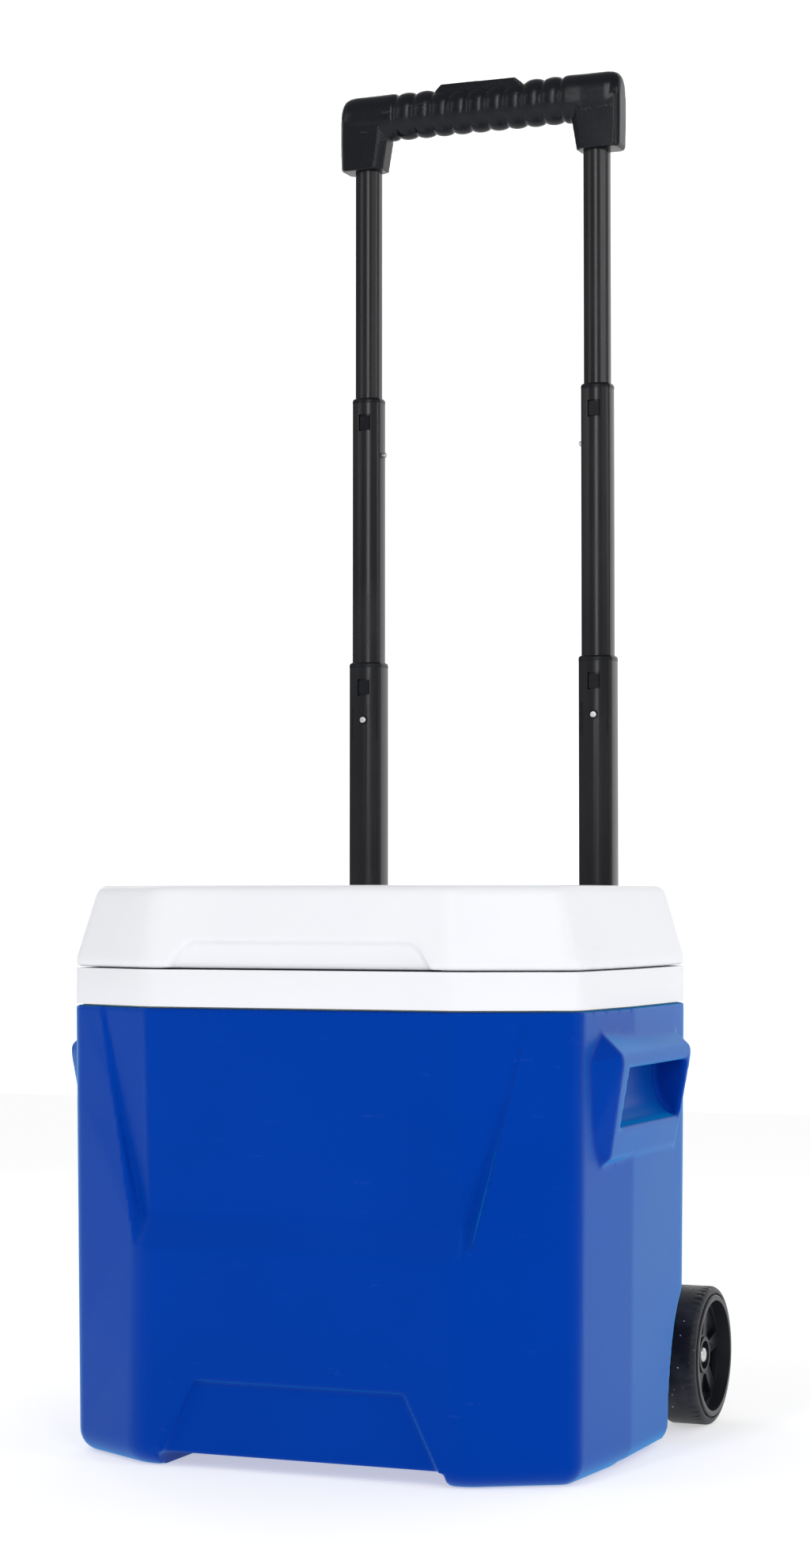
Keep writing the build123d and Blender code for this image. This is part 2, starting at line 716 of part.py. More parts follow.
plug_y = (CAVITY_TOP_Y[0] + PLUG_GAP + 1, CAVITY_TOP_Y[1] - PLUG_GAP - 1)
plug_base = COLLAR_TOP - PLUG_DEPTH
plug = extrude(box_outline(plug_half, plug_y, plug_base, 22), LID_BASE + 2.5 - plug_base)
plug_room = extrude(
    box_outline(plug_half, plug_y, plug_base + 2, 22, -2), LID_BASE + 0.5 - plug_base
)
pan = pan + plug - plug_room
lid_foam = lid_room + plug_room

# Hinge pins
hinge_pins = []
for centre in HINGE_CENTRES:
    pin = rod_x(HINGE_PIN_RADIUS, centre - 18, centre + 18, PIVOT_Y, PIVOT_Z)
    liner = liner - pin
    lid = lid - rod_x(HINGE_PIN_RADIUS + 0.06, centre - 19, centre + 19, PIVOT_Y, PIVOT_Z)
    hinge_pins.append(pin)

# Brackets behind the body with their screws
upper_plate = block((-112, 112), (REAR_Y, REAR_Y + 4), (212, 242))
lower_beam = block((-150, 150), (REAR_Y, 142), (28, 74))
lower_beam = fillet(lower_beam.edges().filter_by(Axis.X), 6.0)
upper_bracket = bracket(upper_plate, (212, 242), (216, 238), (200, 250))
lower_bracket = bracket(lower_beam, (60, 125), (60, 118), (FIXED_BASE, 130))
upper_screws = [fastener(*place) for place in upper_places]
lower_screws = [fastener(*place) for place in lower_places]
for screw in upper_screws:
    upper_bracket = upper_bracket - screw
for screw in lower_screws:
    lower_bracket = lower_bracket - screw
lower_bracket = lower_bracket - rod_x(AXLE_RADIUS, -190, 190, WHEEL_Y, WHEEL_RADIUS)

parts["outer_shell"] = shell
parts["inner_liner"] = liner
parts["insulation_foam"] = foam
parts["lid_shell"] = lid
parts["lid_pan"] = pan
parts["lid_foam"] = lid_foam
parts["hinge_pins"] = group(hinge_pins)
parts["upper_bracket"] = upper_bracket
parts["lower_bracket"] = lower_bracket
parts["upper_bracket_screws"] = group(upper_screws)
parts["lower_bracket_screws"] = group(lower_screws)

# Wheels on their axle
axle = rod_x(AXLE_RADIUS, -184, 184, WHEEL_Y, WHEEL_RADIUS)
spacer = rod_x(8.0, 150, 164.2, WHEEL_Y, WHEEL_RADIUS) - axle
parts["axle"] = axle
parts["axle_spacers"] = group(both_sides(spacer))
parts["axle_caps"] = group(both_sides(axle_cap()))
add_pair(parts, "wheel_hub", wheel_hub())
add_pair(parts, "wheel_tyre", tyre())

# Fixed tubes and the three sliding stages
lower_plug_base = FIXED_TOP - OVERLAP
middle_plug_base = LOWER_TOP - OVERLAP
upper_plug_base = MIDDLE_TOP - OVERLAP
fixed_tube = hollow_tube(FIXED_TUBE, FIXED_BASE, FIXED_TOP - COLLAR_CAP)
fixed_tube = fixed_tube - front_window(FIXED_TOP, FIXED_TUBE)
fixed_hole_start = TUBE_Y - FIXED_TUBE[1] / 2 - 2
fixed_hole_z = lower_plug_base + PIN_RISE
fixed_tube = fixed_tube - rod_y(
    FRONT_HOLE_RADIUS, fixed_hole_start, TUBE_Y, TUBE_X, fixed_hole_z
)
lower_tube = front_pin_tube(
    LOWER_TUBE, lower_plug_base + PLUG_HEIGHT, LOWER_TOP, middle_plug_base
)
middle_tube = hollow_tube(MIDDLE_TUBE, middle_plug_base + PLUG_HEIGHT, MIDDLE_TOP - COLLAR_CAP)
middle_tube = middle_tube - front_window(MIDDLE_TOP, MIDDLE_TUBE)
side_hole_start = TUBE_X - MIDDLE_TUBE[0] / 2 - 2
side_pin_z = upper_plug_base + PIN_RISE
middle_tube = middle_tube - rod_x(SIDE_HOLE_RADIUS, side_hole_start, TUBE_X, TUBE_Y, side_pin_z)
upper_tube = hollow_tube(UPPER_TUBE, upper_plug_base + PLUG_HEIGHT, TUBE_SEAT_TOP)
side_bore = rod_x(SIDE_PIN_RADIUS + PIN_GAP, side_hole_start, TUBE_X + 4, TUBE_Y, side_pin_z)
rod_bore = rod_z(ROD_RADIUS + 0.4, side_pin_z, 760, TUBE_X, TUBE_Y)
upper_plug = end_plug(UPPER_TUBE, MIDDLE_TUBE, upper_plug_base) - side_bore - rod_bore

add_pair(parts, "fixed_tube", fixed_tube)
add_pair(parts, "fixed_bush", collar_bush(FIXED_TUBE, LOWER_TUBE, FIXED_TOP))
add_pair(parts, "lower_tube", lower_tube)
add_pair(parts, "lower_bush", collar_bush(LOWER_TUBE, MIDDLE_TUBE, LOWER_TOP))
add_pair(parts, "lower_plug", front_pin_plug(LOWER_TUBE, FIXED_TUBE, lower_plug_base))
add_pair(parts, "middle_tube", middle_tube)
add_pair(parts, "middle_bush", collar_bush(MIDDLE_TUBE, UPPER_TUBE, MIDDLE_TOP))
add_pair(parts, "middle_plug", front_pin_plug(MIDDLE_TUBE, LOWER_TUBE, middle_plug_base))
add_pair(parts, "upper_tube", upper_tube)
add_pair(parts, "upper_plug", upper_plug)
add_pair(parts, "upper_latch_pin", side_pin(MIDDLE_TUBE, upper_plug_base))
parts["middle_latch_pins"] = group(both_sides(front_pin(LOWER_TUBE, middle_plug_base)))
parts["lower_latch_pins"] = group(both_sides(front_pin(FIXED_TUBE, lower_plug_base)))

# Grip with its button
grip = grip_form()
grip_screws = [grip_screw(x, z) for x in (-109.5, 109.5) for z in (946, 977)]
for screw in grip_screws:
    grip = grip - screw
    grip = grip - rod_y(2.8, TUBE_Y + GRIP_DEPTH / 2 - 0.4, 185, screw.center().X, screw.center().Z)
parts["grip_front"] = grip & block((-130, 130), (130, TUBE_Y), (900, 1010))
parts["grip_back"] = grip & block((-130, 130), (TUBE_Y, 200), (900, 1010))
parts["grip_screws"] = group(grip_screws)
parts["release_button"] = release_button()
parts["button_springs"] = group([return_spring(-SPRING_X), return_spring(SPRING_X)])

for name, shape in parts.items():
    export_step(shape, "parts/" + name + ".step")
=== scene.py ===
import logging
import math
from dataclasses import dataclass
from enum import Enum

import bmesh
import bpy
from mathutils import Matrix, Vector

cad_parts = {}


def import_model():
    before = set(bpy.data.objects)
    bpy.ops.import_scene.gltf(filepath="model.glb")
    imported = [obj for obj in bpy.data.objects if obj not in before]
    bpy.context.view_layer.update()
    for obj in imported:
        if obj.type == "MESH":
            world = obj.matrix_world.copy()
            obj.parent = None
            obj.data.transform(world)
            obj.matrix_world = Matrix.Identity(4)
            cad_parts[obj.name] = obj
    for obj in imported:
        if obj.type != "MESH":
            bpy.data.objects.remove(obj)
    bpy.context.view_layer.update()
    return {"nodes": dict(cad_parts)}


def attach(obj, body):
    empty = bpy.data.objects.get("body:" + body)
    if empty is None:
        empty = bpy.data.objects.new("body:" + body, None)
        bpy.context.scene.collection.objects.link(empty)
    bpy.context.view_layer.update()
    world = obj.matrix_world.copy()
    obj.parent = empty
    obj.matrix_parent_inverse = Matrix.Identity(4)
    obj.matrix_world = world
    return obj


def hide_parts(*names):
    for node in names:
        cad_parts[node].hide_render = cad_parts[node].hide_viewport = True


LOG = logging.getLogger("cooler")
MM = 0.001
Point2 = tuple[float, float]
Point3 = tuple[float, float, float]
Colour = tuple[float, float, float]
Piece = bpy.types.Object
Finish = bpy.types.Material
WELD = 2e-6
PIN_HOLE_TURN = 0.3927


class Along(Enum):
    """The row axis that a prism runs along."""

    X = 0
    Y = 1
    Z = 2


class Cut(Enum):
    """What a boolean does with its tool."""

    REMOVE = "DIFFERENCE"
    JOIN = "UNION"


class Sock:
    """A shader value that takes part in Python arithmetic."""

    def __init__(self, tree: bpy.types.NodeTree, socket: bpy.types.NodeSocket) -> None:
        """Wraps a socket of a tree."""
        self.tree = tree
        self.socket = socket

    def maths(self, operation: str, first: object, second: object) -> "Sock":
        """Adds one Math node.

        Args:
            operation: The Math node's operation.
            first: A Sock or a number for the first input.
            second: A Sock or a number for the second input.

        Returns:
            The node's result.
        """
        made = self.tree.nodes.new("ShaderNodeMath")
        made.operation = operation
        for place, value in enumerate((first, second)):
            if isinstance(value, Sock):
                self.tree.links.new(value.socket, made.inputs[place])
            else:
                made.inputs[place].default_value = float(value)
        return Sock(self.tree, made.outputs[0])

    def __add__(self, other: object) -> "Sock":
        """Sum."""
        return self.maths("ADD", self, other)

    __radd__ = __add__

    def __sub__(self, other: object) -> "Sock":
        """Difference."""
        return self.maths("SUBTRACT", self, other)

    def __rsub__(self, other: object) -> "Sock":
        """Difference with the number first."""
        return self.maths("SUBTRACT", other, self)

    def __mul__(self, other: object) -> "Sock":
        """Product."""
        return self.maths("MULTIPLY", self, other)

    def __gt__(self, other: object) -> "Sock":
        """One where this value is the larger, else zero."""
        return self.maths("GREATER_THAN", self, other)


class Shader:
    """A material under construction."""

    def __init__(self, name: str) -> None:
        """Starts a material with one Principled shader."""
        self.material = bpy.data.materials.new(name)
        self.material.use_nodes = True
        self.tree = self.material.node_tree
        self.surface = self.tree.nodes["Principled BSDF"]

    def node(self, kind: str, inputs: dict, **settings: object) -> bpy.types.Node:
        """Adds a node.

        Args:
            kind: The node's type.
            inputs: Values or links of its sockets, by name or index.
            settings: Attributes that are set before the sockets are fed.

        Returns:
            The new node.
        """
        made = self.tree.nodes.new(kind)
        for key, value in settings.items():
            setattr(made, key, value)
        for key, value in inputs.items():
            self.feed(made.inputs[key], value)
        return made

    def feed(self, socket: bpy.types.NodeSocket, value: object) -> None:
        """Links a Sock to a socket, or sets the socket's own value.

        Args:
            socket: The input.
            value: A Sock, a number or a tuple.
        """
        if isinstance(value, Sock):
            self.tree.links.new(value.socket, socket)
        else:
            socket.default_value = value

    def out(self, node: bpy.types.Node, name: str | int = 0) -> Sock:
        """An output of a node as a Sock."""
        return Sock(self.tree, node.outputs[name])

    def place(self) -> Sock:
        """Object coordinates, which are metres in the row frame."""
        return self.out(self.node("ShaderNodeTexCoord", {}), "Object")

    def stretched(self, scale: Point3) -> Sock:
        """Object coordinates scaled per axis."""
        mapping = self.node("ShaderNodeMapping", {"Vector": self.place(), "Scale": scale})
        return self.out(mapping, "Vector")

    def noise(self, scale: float, detail: float = 2.0, vector: Sock | None = None) -> Sock:
        """A noise value about 0.5.

        Args:
            scale: Features per metre.
            detail: The noise's octaves.
            vector: Coordinates, or object coordinates if None.

        Returns:
            The noise as a value.
        """
        inputs = {"Vector": vector or self.place(), "Scale": scale, "Detail": detail}
        return self.out(self.node("ShaderNodeTexNoise", inputs), "Fac")

    def cells(self, scale: float) -> bpy.types.Node:
        """A Voronoi node with so many cells per metre."""
        return self.node("ShaderNodeTexVoronoi", {"Vector": self.place(), "Scale": scale})

    def ramp(self, value: Sock, stops: list[tuple[float, float]]) -> Sock:
        """A value passed through stops, each a position and a grey."""
        made = self.node("ShaderNodeValToRGB", {"Fac": value})
        for element, (place, grey) in zip(made.color_ramp.elements, stops):
            element.position = place
            element.color = (grey, grey, grey, 1.0)
        return self.out(made, "Color")

    def mix(self, factor: Sock, first: Colour | Sock, second: Colour | Sock) -> Sock:
        """A blend of two colours.

        Args:
            factor: Zero gives the first colour and one the second.
            first: A colour or a colour Sock.
            second: A colour or a colour Sock.

        Returns:
            The blended colour.
        """
        made = self.node("ShaderNodeMix", {0: factor}, data_type="RGBA")
        for place, value in ((6, first), (7, second)):
            self.feed(made.inputs[place], value if isinstance(value, Sock) else (*value, 1.0))
        return self.out(made, 2)

    def bump(self, height: Sock, distance: float, strength: float) -> None:
        """Feeds the surface normal from a height.

        Args:
            height: The height value.
            distance: The height in metres of one unit.
            strength: How much of the bump shows.
        """
        inputs = {"Height": height, "Distance": distance, "Strength": strength}
        self.feed(self.surface.inputs["Normal"], self.out(self.node("ShaderNodeBump", inputs)))

    def set(self, **values: object) -> None:
        """Sets or links sockets of the Principled shader, with underscores for spaces."""
        for key, value in values.items():
            self.feed(self.surface.inputs[key.replace("_", " ")], value)


@dataclass(frozen=True)
class MouldedPlastic:
    """A moulded plastic with a fine grain, faint mottling and light scuffs."""

    name: str
    colour: Colour
    shade: Colour
    roughness: float
    grain_per_metre: float = 1700.0
    grain_height: float = 0.00012
    grain_strength: float = 0.35
    scuff: float = 0.25
    scuff_colour: Colour = (0.5, 0.5, 0.52)
    specular: float = 0.5
    tint: Colour = (1.0, 1.0, 1.0)
    sheen: float = 0.0
    sheen_colour: Colour = (1.0, 1.0, 1.0)

    def material(self) -> Finish:
        """Builds the material."""
        shader = Shader(self.name)
        mottle = shader.ramp(shader.noise(9.0, 3.0), [(0.3, 0.0), (0.7, 1.0)])
        streaks = shader.noise(1.0, 4.0, shader.stretched((30.0, 30.0, 210.0)))
        fine = shader.noise(420.0, 2.0)
        marks = (streaks > 0.69) * (fine > 0.5) * self.scuff
        base = shader.mix(mottle, self.colour, self.shade)
        grain = shader.noise(self.grain_per_metre, 2.0)
        pits = shader.cells(self.grain_per_metre)
        height = grain * 0.6 + shader.out(pits, "Distance") * 0.4 + shader.noise(60.0, 2.0) * 0.35
        shader.set(
            Base_Color=shader.mix(marks * 0.3, base, self.scuff_colour),
            Roughness=self.roughness + (grain - 0.5) * 0.16 + (mottle * 0.05) + marks * 0.2,
            Specular_IOR_Level=self.specular,
            Specular_Tint=(*self.tint, 1.0),
            Sheen_Weight=self.sheen,
            Sheen_Roughness=0.35,
            Sheen_Tint=(*self.sheen_colour, 1.0),
        )
        shader.bump(height, self.grain_height, self.grain_strength)
        return shader.material


@dataclass(frozen=True)
class CoatedTube:
    """A black coated metal tube with faint drawing lines and rubbed patches."""

    name: str
    colour: Colour = (0.003, 0.003, 0.005)
    rubbed: Colour = (0.008, 0.008, 0.010)
    roughness: float = 0.2

    def material(self) -> Finish:
        """Builds the material."""
        shader = Shader(self.name)
        lines = shader.noise(1.0, 3.0, shader.stretched((700.0, 700.0, 9.0)))
        patches = shader.ramp(shader.noise(14.0, 4.0), [(0.45, 0.0), (0.75, 1.0)])
        grain = shader.noise(2400.0, 1.0)
        shader.set(
            Base_Color=shader.mix(patches * 0.5, self.colour, self.rubbed),
            Roughness=self.roughness + lines * 0.08 + patches * 0.06,
            Specular_IOR_Level=0.36,
        )
        shader.bump(lines * 0.6 + grain * 0.4, 0.00003, 0.25)
        return shader.material


@dataclass(frozen=True)
class BrightSteel:
    """Turned or drawn steel with fine lines and a little tarnish."""

    name: str
    colour: Colour = (0.62, 0.62, 0.63)
    tarnish: Colour = (0.34, 0.32, 0.3)
    roughness: float = 0.26

    def material(self) -> Finish:
        """Builds the material."""
        shader = Shader(self.name)
        lines = shader.noise(1.0, 2.0, shader.stretched((2600.0, 300.0, 300.0)))
        spots = shader.ramp(shader.noise(160.0, 4.0), [(0.5, 0.0), (0.72, 1.0)])
        shader.set(
            Base_Color=shader.mix(spots * 0.55, self.colour, self.tarnish),
            Metallic=1.0,
            Roughness=self.roughness + lines * 0.14 + spots * 0.12,
        )
        shader.bump(lines, 0.00002, 0.4)
        return shader.material


@dataclass(frozen=True)
class TyrePlastic:
    """Hard black tread with pale specks of dust, scratches and dull patches."""

    name: str
    colour: Colour = (0.011, 0.012, 0.017)
    worn: Colour = (0.045, 0.047, 0.056)
    dust: Colour = (0.62, 0.62, 0.64)
    roughness: float = 0.42

    def material(self) -> Finish:
        """Builds the material."""
        shader = Shader(self.name)
        worn = shader.ramp(shader.noise(38.0, 5.0), [(0.42, 0.0), (0.72, 1.0)])
        cells = shader.cells(150.0)
        near = shader.out(cells, "Distance")
        pick = shader.ramp(shader.out(cells, "Color"), [(0.25, 0.0), (0.26, 1.0)])
        specks = (1 - (near > 0.085)) * pick
        scratches = shader.noise(1.0, 3.0, shader.stretched((70.0, 420.0, 420.0)))
        base = shader.mix(worn, self.colour, self.worn)
        shader.set(
            Base_Color=shader.mix(specks * 0.85, base, self.dust),
            Roughness=self.roughness + worn * 0.18 + (scratches - 0.5) * 0.2,
            Specular_IOR_Level=0.25,
        )
        shader.bump(scratches * 0.5 + shader.noise(1200.0, 2.0) * 0.5, 0.0001, 0.4)
        return shader.material


@dataclass(frozen=True)
class FoamCore:
    """Pale closed-cell foam."""

    name: str = "foam core"
    colour: Colour = (0.78, 0.74, 0.6)

    def material(self) -> Finish:
        """Builds the material."""
        shader = Shader(self.name)
        near = shader.out(shader.cells(700.0), "Distance")
        shader.set(
            Base_Color=shader.mix(near, self.colour, (0.6, 0.55, 0.42)),
            Roughness=0.8 + (near - 0.5) * 0.2,
        )
        shader.bump(near, 0.0003, 0.5)
        return shader.material


class Palette:
    """The finishes of the whole cooler, each built once."""

    def __init__(self) -> None:
        """Builds every material."""
        blue = MouldedPlastic(
            "blue moulded shell", (0.0003, 0.034, 0.325), (0.0005, 0.037, 0.35), 0.33,
            grain_per_metre=1500.0, grain_height=0.00016, grain_strength=0.42,
            scuff=0.12, scuff_colour=(0.1, 0.2, 0.5), specular=0.22, tint=(0.02, 0.35, 1.0),
            sheen=1.0, sheen_colour=(0.0, 0.5, 1.0),
        )
        white = MouldedPlastic(
            "white moulded plastic", (0.83, 0.84, 0.87), (0.8, 0.81, 0.845), 0.34,
            grain_per_metre=1900.0, grain_height=0.00005, grain_strength=0.25,
            scuff=0.2, scuff_colour=(0.6, 0.6, 0.6), specular=0.3,
        )
        black = MouldedPlastic(
            "black moulded plastic", (0.003, 0.0035, 0.006), (0.005, 0.006, 0.009), 0.3,
            grain_per_metre=1300.0, grain_height=0.00012, grain_strength=0.35,
            scuff=0.35, scuff_colour=(0.16, 0.16, 0.17), specular=0.18,
        )
        grip = MouldedPlastic(
            "black grip plastic", (0.002, 0.003, 0.006), (0.004, 0.005, 0.008), 0.22,
            grain_per_metre=900.0, grain_height=0.00014, grain_strength=0.3,
            scuff=0.4, scuff_colour=(0.12, 0.12, 0.13), specular=0.24,
        )
        hub = MouldedPlastic(
            "black wheel hub", (0.010, 0.011, 0.015), (0.017, 0.018, 0.023), 0.3,
            grain_per_metre=1100.0, grain_height=0.00008, grain_strength=0.3,
            scuff=0.6, scuff_colour=(0.3, 0.3, 0.32), specular=0.25,
        )
        self.blue = blue.material()
        self.white = white.material()
        self.black = black.material()
        self.hub = hub.material()
        self.grip = grip.material()
        self.tube = CoatedTube("black coated tube").material()
        self.steel = BrightSteel("bright steel").material()
        self.tyre = TyrePlastic("black tread").material()
        self.foam = FoamCore().material()


def linked(name: str, data: bpy.types.ID) -> Piece:
    """A new object in the scene that holds a mesh, a light or a camera."""
    made = bpy.data.objects.new(name, data)
    bpy.context.scene.collection.objects.link(made)
    return made


def object_from(name: str, sheet: bmesh.types.BMesh) -> Piece:
    """Turns a closed bmesh into an object with outward normals.

    Args:
        name: The object's name, whose spaces become underscores.
        sheet: The bmesh, which is freed.

    Returns:
        The object, linked into the scene.
    """
    bmesh.ops.recalc_face_normals(sheet, faces=sheet.faces)
    mesh = bpy.data.meshes.new(name)
    sheet.to_mesh(mesh)
    sheet.free()
    return linked(name.replace(" ", "_"), mesh)


def loft(name: str, rings: list[list[Point3]]) -> Piece:
    """A closed skin over rings with the same number of points.

    Args:
        name: The object's name.
        rings: The rings in order, in metres.

    Returns:
        The object.
    """
    sheet = bmesh.new()
    made = [[sheet.verts.new(point) for point in ring] for ring in rings]
    count = len(rings[0])
    for lower, upper in zip(made, made[1:]):
        for i in range(count):
            j = (i + 1) % count
            sheet.faces.new((lower[i], lower[j], upper[j], upper[i]))
    sheet.faces.new(list(reversed(made[0])))
    sheet.faces.new(made[-1])
    return object_from(name, sheet)


def prism(name: str, outline: list[Point2], along: Along, start: float, end: float) -> Piece:
    """A prism of an outline.

    Args:
        name: The object's name.
        outline: Points in the two other axes, in their X, Y, Z order, in metres.
        along: The axis that the prism runs along.
        start: Where it starts.
        end: Where it ends.

    Returns:
        The object.
    """

    def lifted(value: float) -> list[Point3]:
        """The outline at one place on the axis."""
        points = []
        for a, b in outline:
            point = [a, b]
            point.insert(along.value, value)
            points.append(tuple(point))
        return points

    return loft(name, [lifted(start), lifted(end)])


def hull(name: str, points: list[Point3]) -> Piece:
    """The convex form around some points.

    Args:
        name: The object's name.
        points: Its corners, in metres.

    Returns:
        The object.
    """
    sheet = bmesh.new()
    verts = [sheet.verts.new(point) for point in points]
    made = bmesh.ops.convex_hull(sheet, input=verts)
    loose = set(made["geom_interior"] + made["geom_unused"])
    bmesh.ops.delete(sheet, geom=[v for v in loose if isinstance(v, bmesh.types.BMVert)], context="VERTS")
    return object_from(name, sheet)


def turned(name: str, profile: list[Point2], centre: Point3, steps: int) -> Piece:
    """A ring turned about an axis along X.

    Args:
        name: The object's name.
        profile: A closed outline as places along X and radii, in metres.
        centre: A point on the axis.
        steps: Segments round the axis.

    Returns:
        The object.
    """
    sheet = bmesh.new()
    rings = []
    for step in range(steps):
        angle = 2 * math.pi * step / steps
        ring = [
            sheet.verts.new((centre[0] + x, centre[1] + r * math.cos(angle), centre[2] + r * math.sin(angle)))
            for x, r in profile
        ]
        rings.append(ring)
    count = len(profile)
    for step in range(steps):
        here, there = rings[step], rings[(step + 1) % steps]
        for i in range(count):
            j = (i + 1) % count
            sheet.faces.new((here[i], here[j], there[j], there[i]))
    return object_from(name, sheet)


def bake_modifiers(target: Piece) -> None:
    """Applies every modifier of an object to its mesh."""
    graph = bpy.context.evaluated_depsgraph_get()
    mesh = bpy.data.meshes.new_from_object(target.evaluated_get(graph), depsgraph=graph)
    target.modifiers.clear()
    old = target.data
    target.data = mesh
    bpy.data.meshes.remove(old)


def combine(target: Piece, tool: Piece, cut: Cut) -> None:
    """Applies a boolean and deletes its tool.

    Args:
        target: The piece that changes.
        tool: The other solid.
        cut: What to do with it.
    """
    change = target.modifiers.new("cut", "BOOLEAN")
    change.operation = cut.value
    change.solver = "EXACT"
    change.object = tool
    bake_modifiers(target)
    bpy.data.objects.remove(tool)


def soften(target: Piece, grid: float, passes: int) -> None:
    """Rounds every edge of a solid as a mould would.

    Args:
        target: The solid.
        grid: The mesh spacing in metres.
        passes: Smoothing passes.
    """
    remesh = target.modifiers.new("grid", "REMESH")
    remesh.mode = "VOXEL"
    remesh.voxel_size = grid
    smooth = target.modifiers.new("ease", "SMOOTH")
    smooth.factor = 0.5
    smooth.iterations = passes
    bake_modifiers(target)
    target.data.shade_smooth()


def thin_out(target: Piece, share: float) -> None:
    """Keeps only a share of a fine mesh's faces."""
    thin = target.modifiers.new("thin", "DECIMATE")
    thin.ratio = share
    bake_modifiers(target)


def shade(target: Piece, sharp_degrees: float) -> None:
    """Shades an object smooth, with creases where an edge turns more than an angle."""
    target.data.shade_smooth()
    target.data.set_sharp_from_angle(angle=math.radians(sharp_degrees))


def sheet_of(node: Piece) -> bmesh.types.BMesh:
    """A CAD node's mesh in the shared frame, with its split points joined."""
    sheet = bmesh.new()
    sheet.from_mesh(node.data)
    sheet.transform(node.matrix_world)
    bmesh.ops.remove_doubles(sheet, verts=sheet.verts, dist=WELD)
    return sheet


def bevelled_copy(node: Piece, name: str, width: float, sharp_degrees: float = 28.0) -> Piece:
    """A copy of a CAD node with its sharp edges rounded.

    Args:
        node: The CAD node.
        name: The new object's name.
        width: The rounding's width in metres.
        sharp_degrees: Edges that turn more than this are rounded.

    Returns:
        The new object.
    """
    sheet = sheet_of(node)
    bmesh.ops.dissolve_limit(
        sheet, angle_limit=math.radians(1.0), verts=sheet.verts, edges=sheet.edges, delimit=set()
    )
    limit = math.radians(sharp_degrees)
    sharp = [e for e in sheet.edges if len(e.link_faces) == 2 and e.calc_face_angle(0.0) > limit]
    bmesh.ops.bevel(
        sheet, geom=sharp, offset=width, segments=2, profile=0.6, affect="EDGES", clamp_overlap=True
    )
    made = object_from(name, sheet)
    shade(made, 40.0)
    return made


def paint(target: Piece, material: Finish) -> None:
    """Gives an object one material."""
    target.data.materials.clear()
    target.data.materials.append(material)


def finish_piece(
    piece: Piece, material: Finish, body: str, nodes: list[str]
) -> None:
    """Paints a piece, puts it on its body and reports it.

    Args:
        piece: The piece.
        material: Its finish.
        body: The CAD body that it moves with.
        nodes: The CAD nodes that it stands for.
    """
    paint(piece, material)
    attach(piece, body)
    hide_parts(*nodes)
    LOG.info("%s: %d faces", piece.name, len(piece.data.polygons))


def corner_arc(before: Point2, corner: Point2, after: Point2, radius: float, steps: int) -> list[Point2]:
    """Points of an arc that rounds one corner.

    Args:
        before: The corner before it.
        corner: The corner.
        after: The corner after it.
        radius: The arc's radius.
        steps: Segments in the arc.

    Returns:
        The arc's points in order.
    """
    here = Vector(corner)
    back = (Vector(before) - here).normalized()
    on = (Vector(after) - here).normalized()
    half = math.acos(max(-1.0, min(1.0, back.dot(on)))) / 2
    reach = radius / math.tan(half)
    centre = here + (back + on).normalized() * (radius / math.sin(half))
    first = here + back * reach - centre
    last = here + on * reach - centre
    points = []
    for step in range(steps + 1):
        share = step / steps
        spot = first.slerp(last, share) if first.angle(last) > 1e-6 else first.lerp(last, share)
        points.append(tuple(centre + spot.normalized() * radius))
    return points


@dataclass
class Plan:
    """The cooler's outline seen from above, with its corner radii, in millimetres."""

    half: list[Point2]
    radii: tuple[float, ...] = (40.0, 15.0, 60.0, 28.0, 28.0)
    steps: int = 8

    def corners(self, inset: float = 0.0) -> list[Point2]:
        """The whole outline's corners.

        Args:
            inset: How far the outline moves inward.

        Returns:
            The corners, counter-clockwise.
        """
        points = list(self.half) + [(-x, y) for x, y in reversed(self.half)]
        if not inset:
            return points
        count = len(points)
        lines = []
        for i in range(count):
            start, end = Vector(points[i]), Vector(points[(i + 1) % count])
            run = (end - start).normalized()
            lines.append((start + Vector((-run.y, run.x)) * inset, run))
        moved = []
        for i in range(count):
            (p, d), (q, e) = lines[i - 1], lines[i]
            reach = ((q.x - p.x) * e.y - (q.y - p.y) * e.x) / (d.x * e.y - d.y * e.x)
            moved.append(tuple(p + d * reach))
        return moved

    def ring(self, height: float, inset: float = 0.0, rounded: bool = True) -> list[Point3]:
        """The outline as a ring of points in metres.

        Args:
            height: Its height in millimetres.
            inset: How far it moves inward.
            rounded: Whether its corners are rounded.

        Returns:
            The ring.
        """
        points = self.corners(inset)
        flat = points
        if rounded:
            radii = list(self.radii) + list(reversed(self.radii))
            flat = []
            count = len(points)
            for i, radius in enumerate(radii):
                around = points[i - 1], points[i], points[(i + 1) % count]
                flat += corner_arc(*around, max(radius - inset, 2.0), self.steps)
        return [(x * MM, y * MM, height * MM) for x, y in flat]

    def towards(self, other: "Plan", share: float) -> "Plan":
        """A plan part of the way to another."""
        half = [
            (ax + (bx - ax) * share, ay + (by - ay) * share)
            for (ax, ay), (bx, by) in zip(self.half, other.half)
        ]
        return Plan(half, self.radii, self.steps)


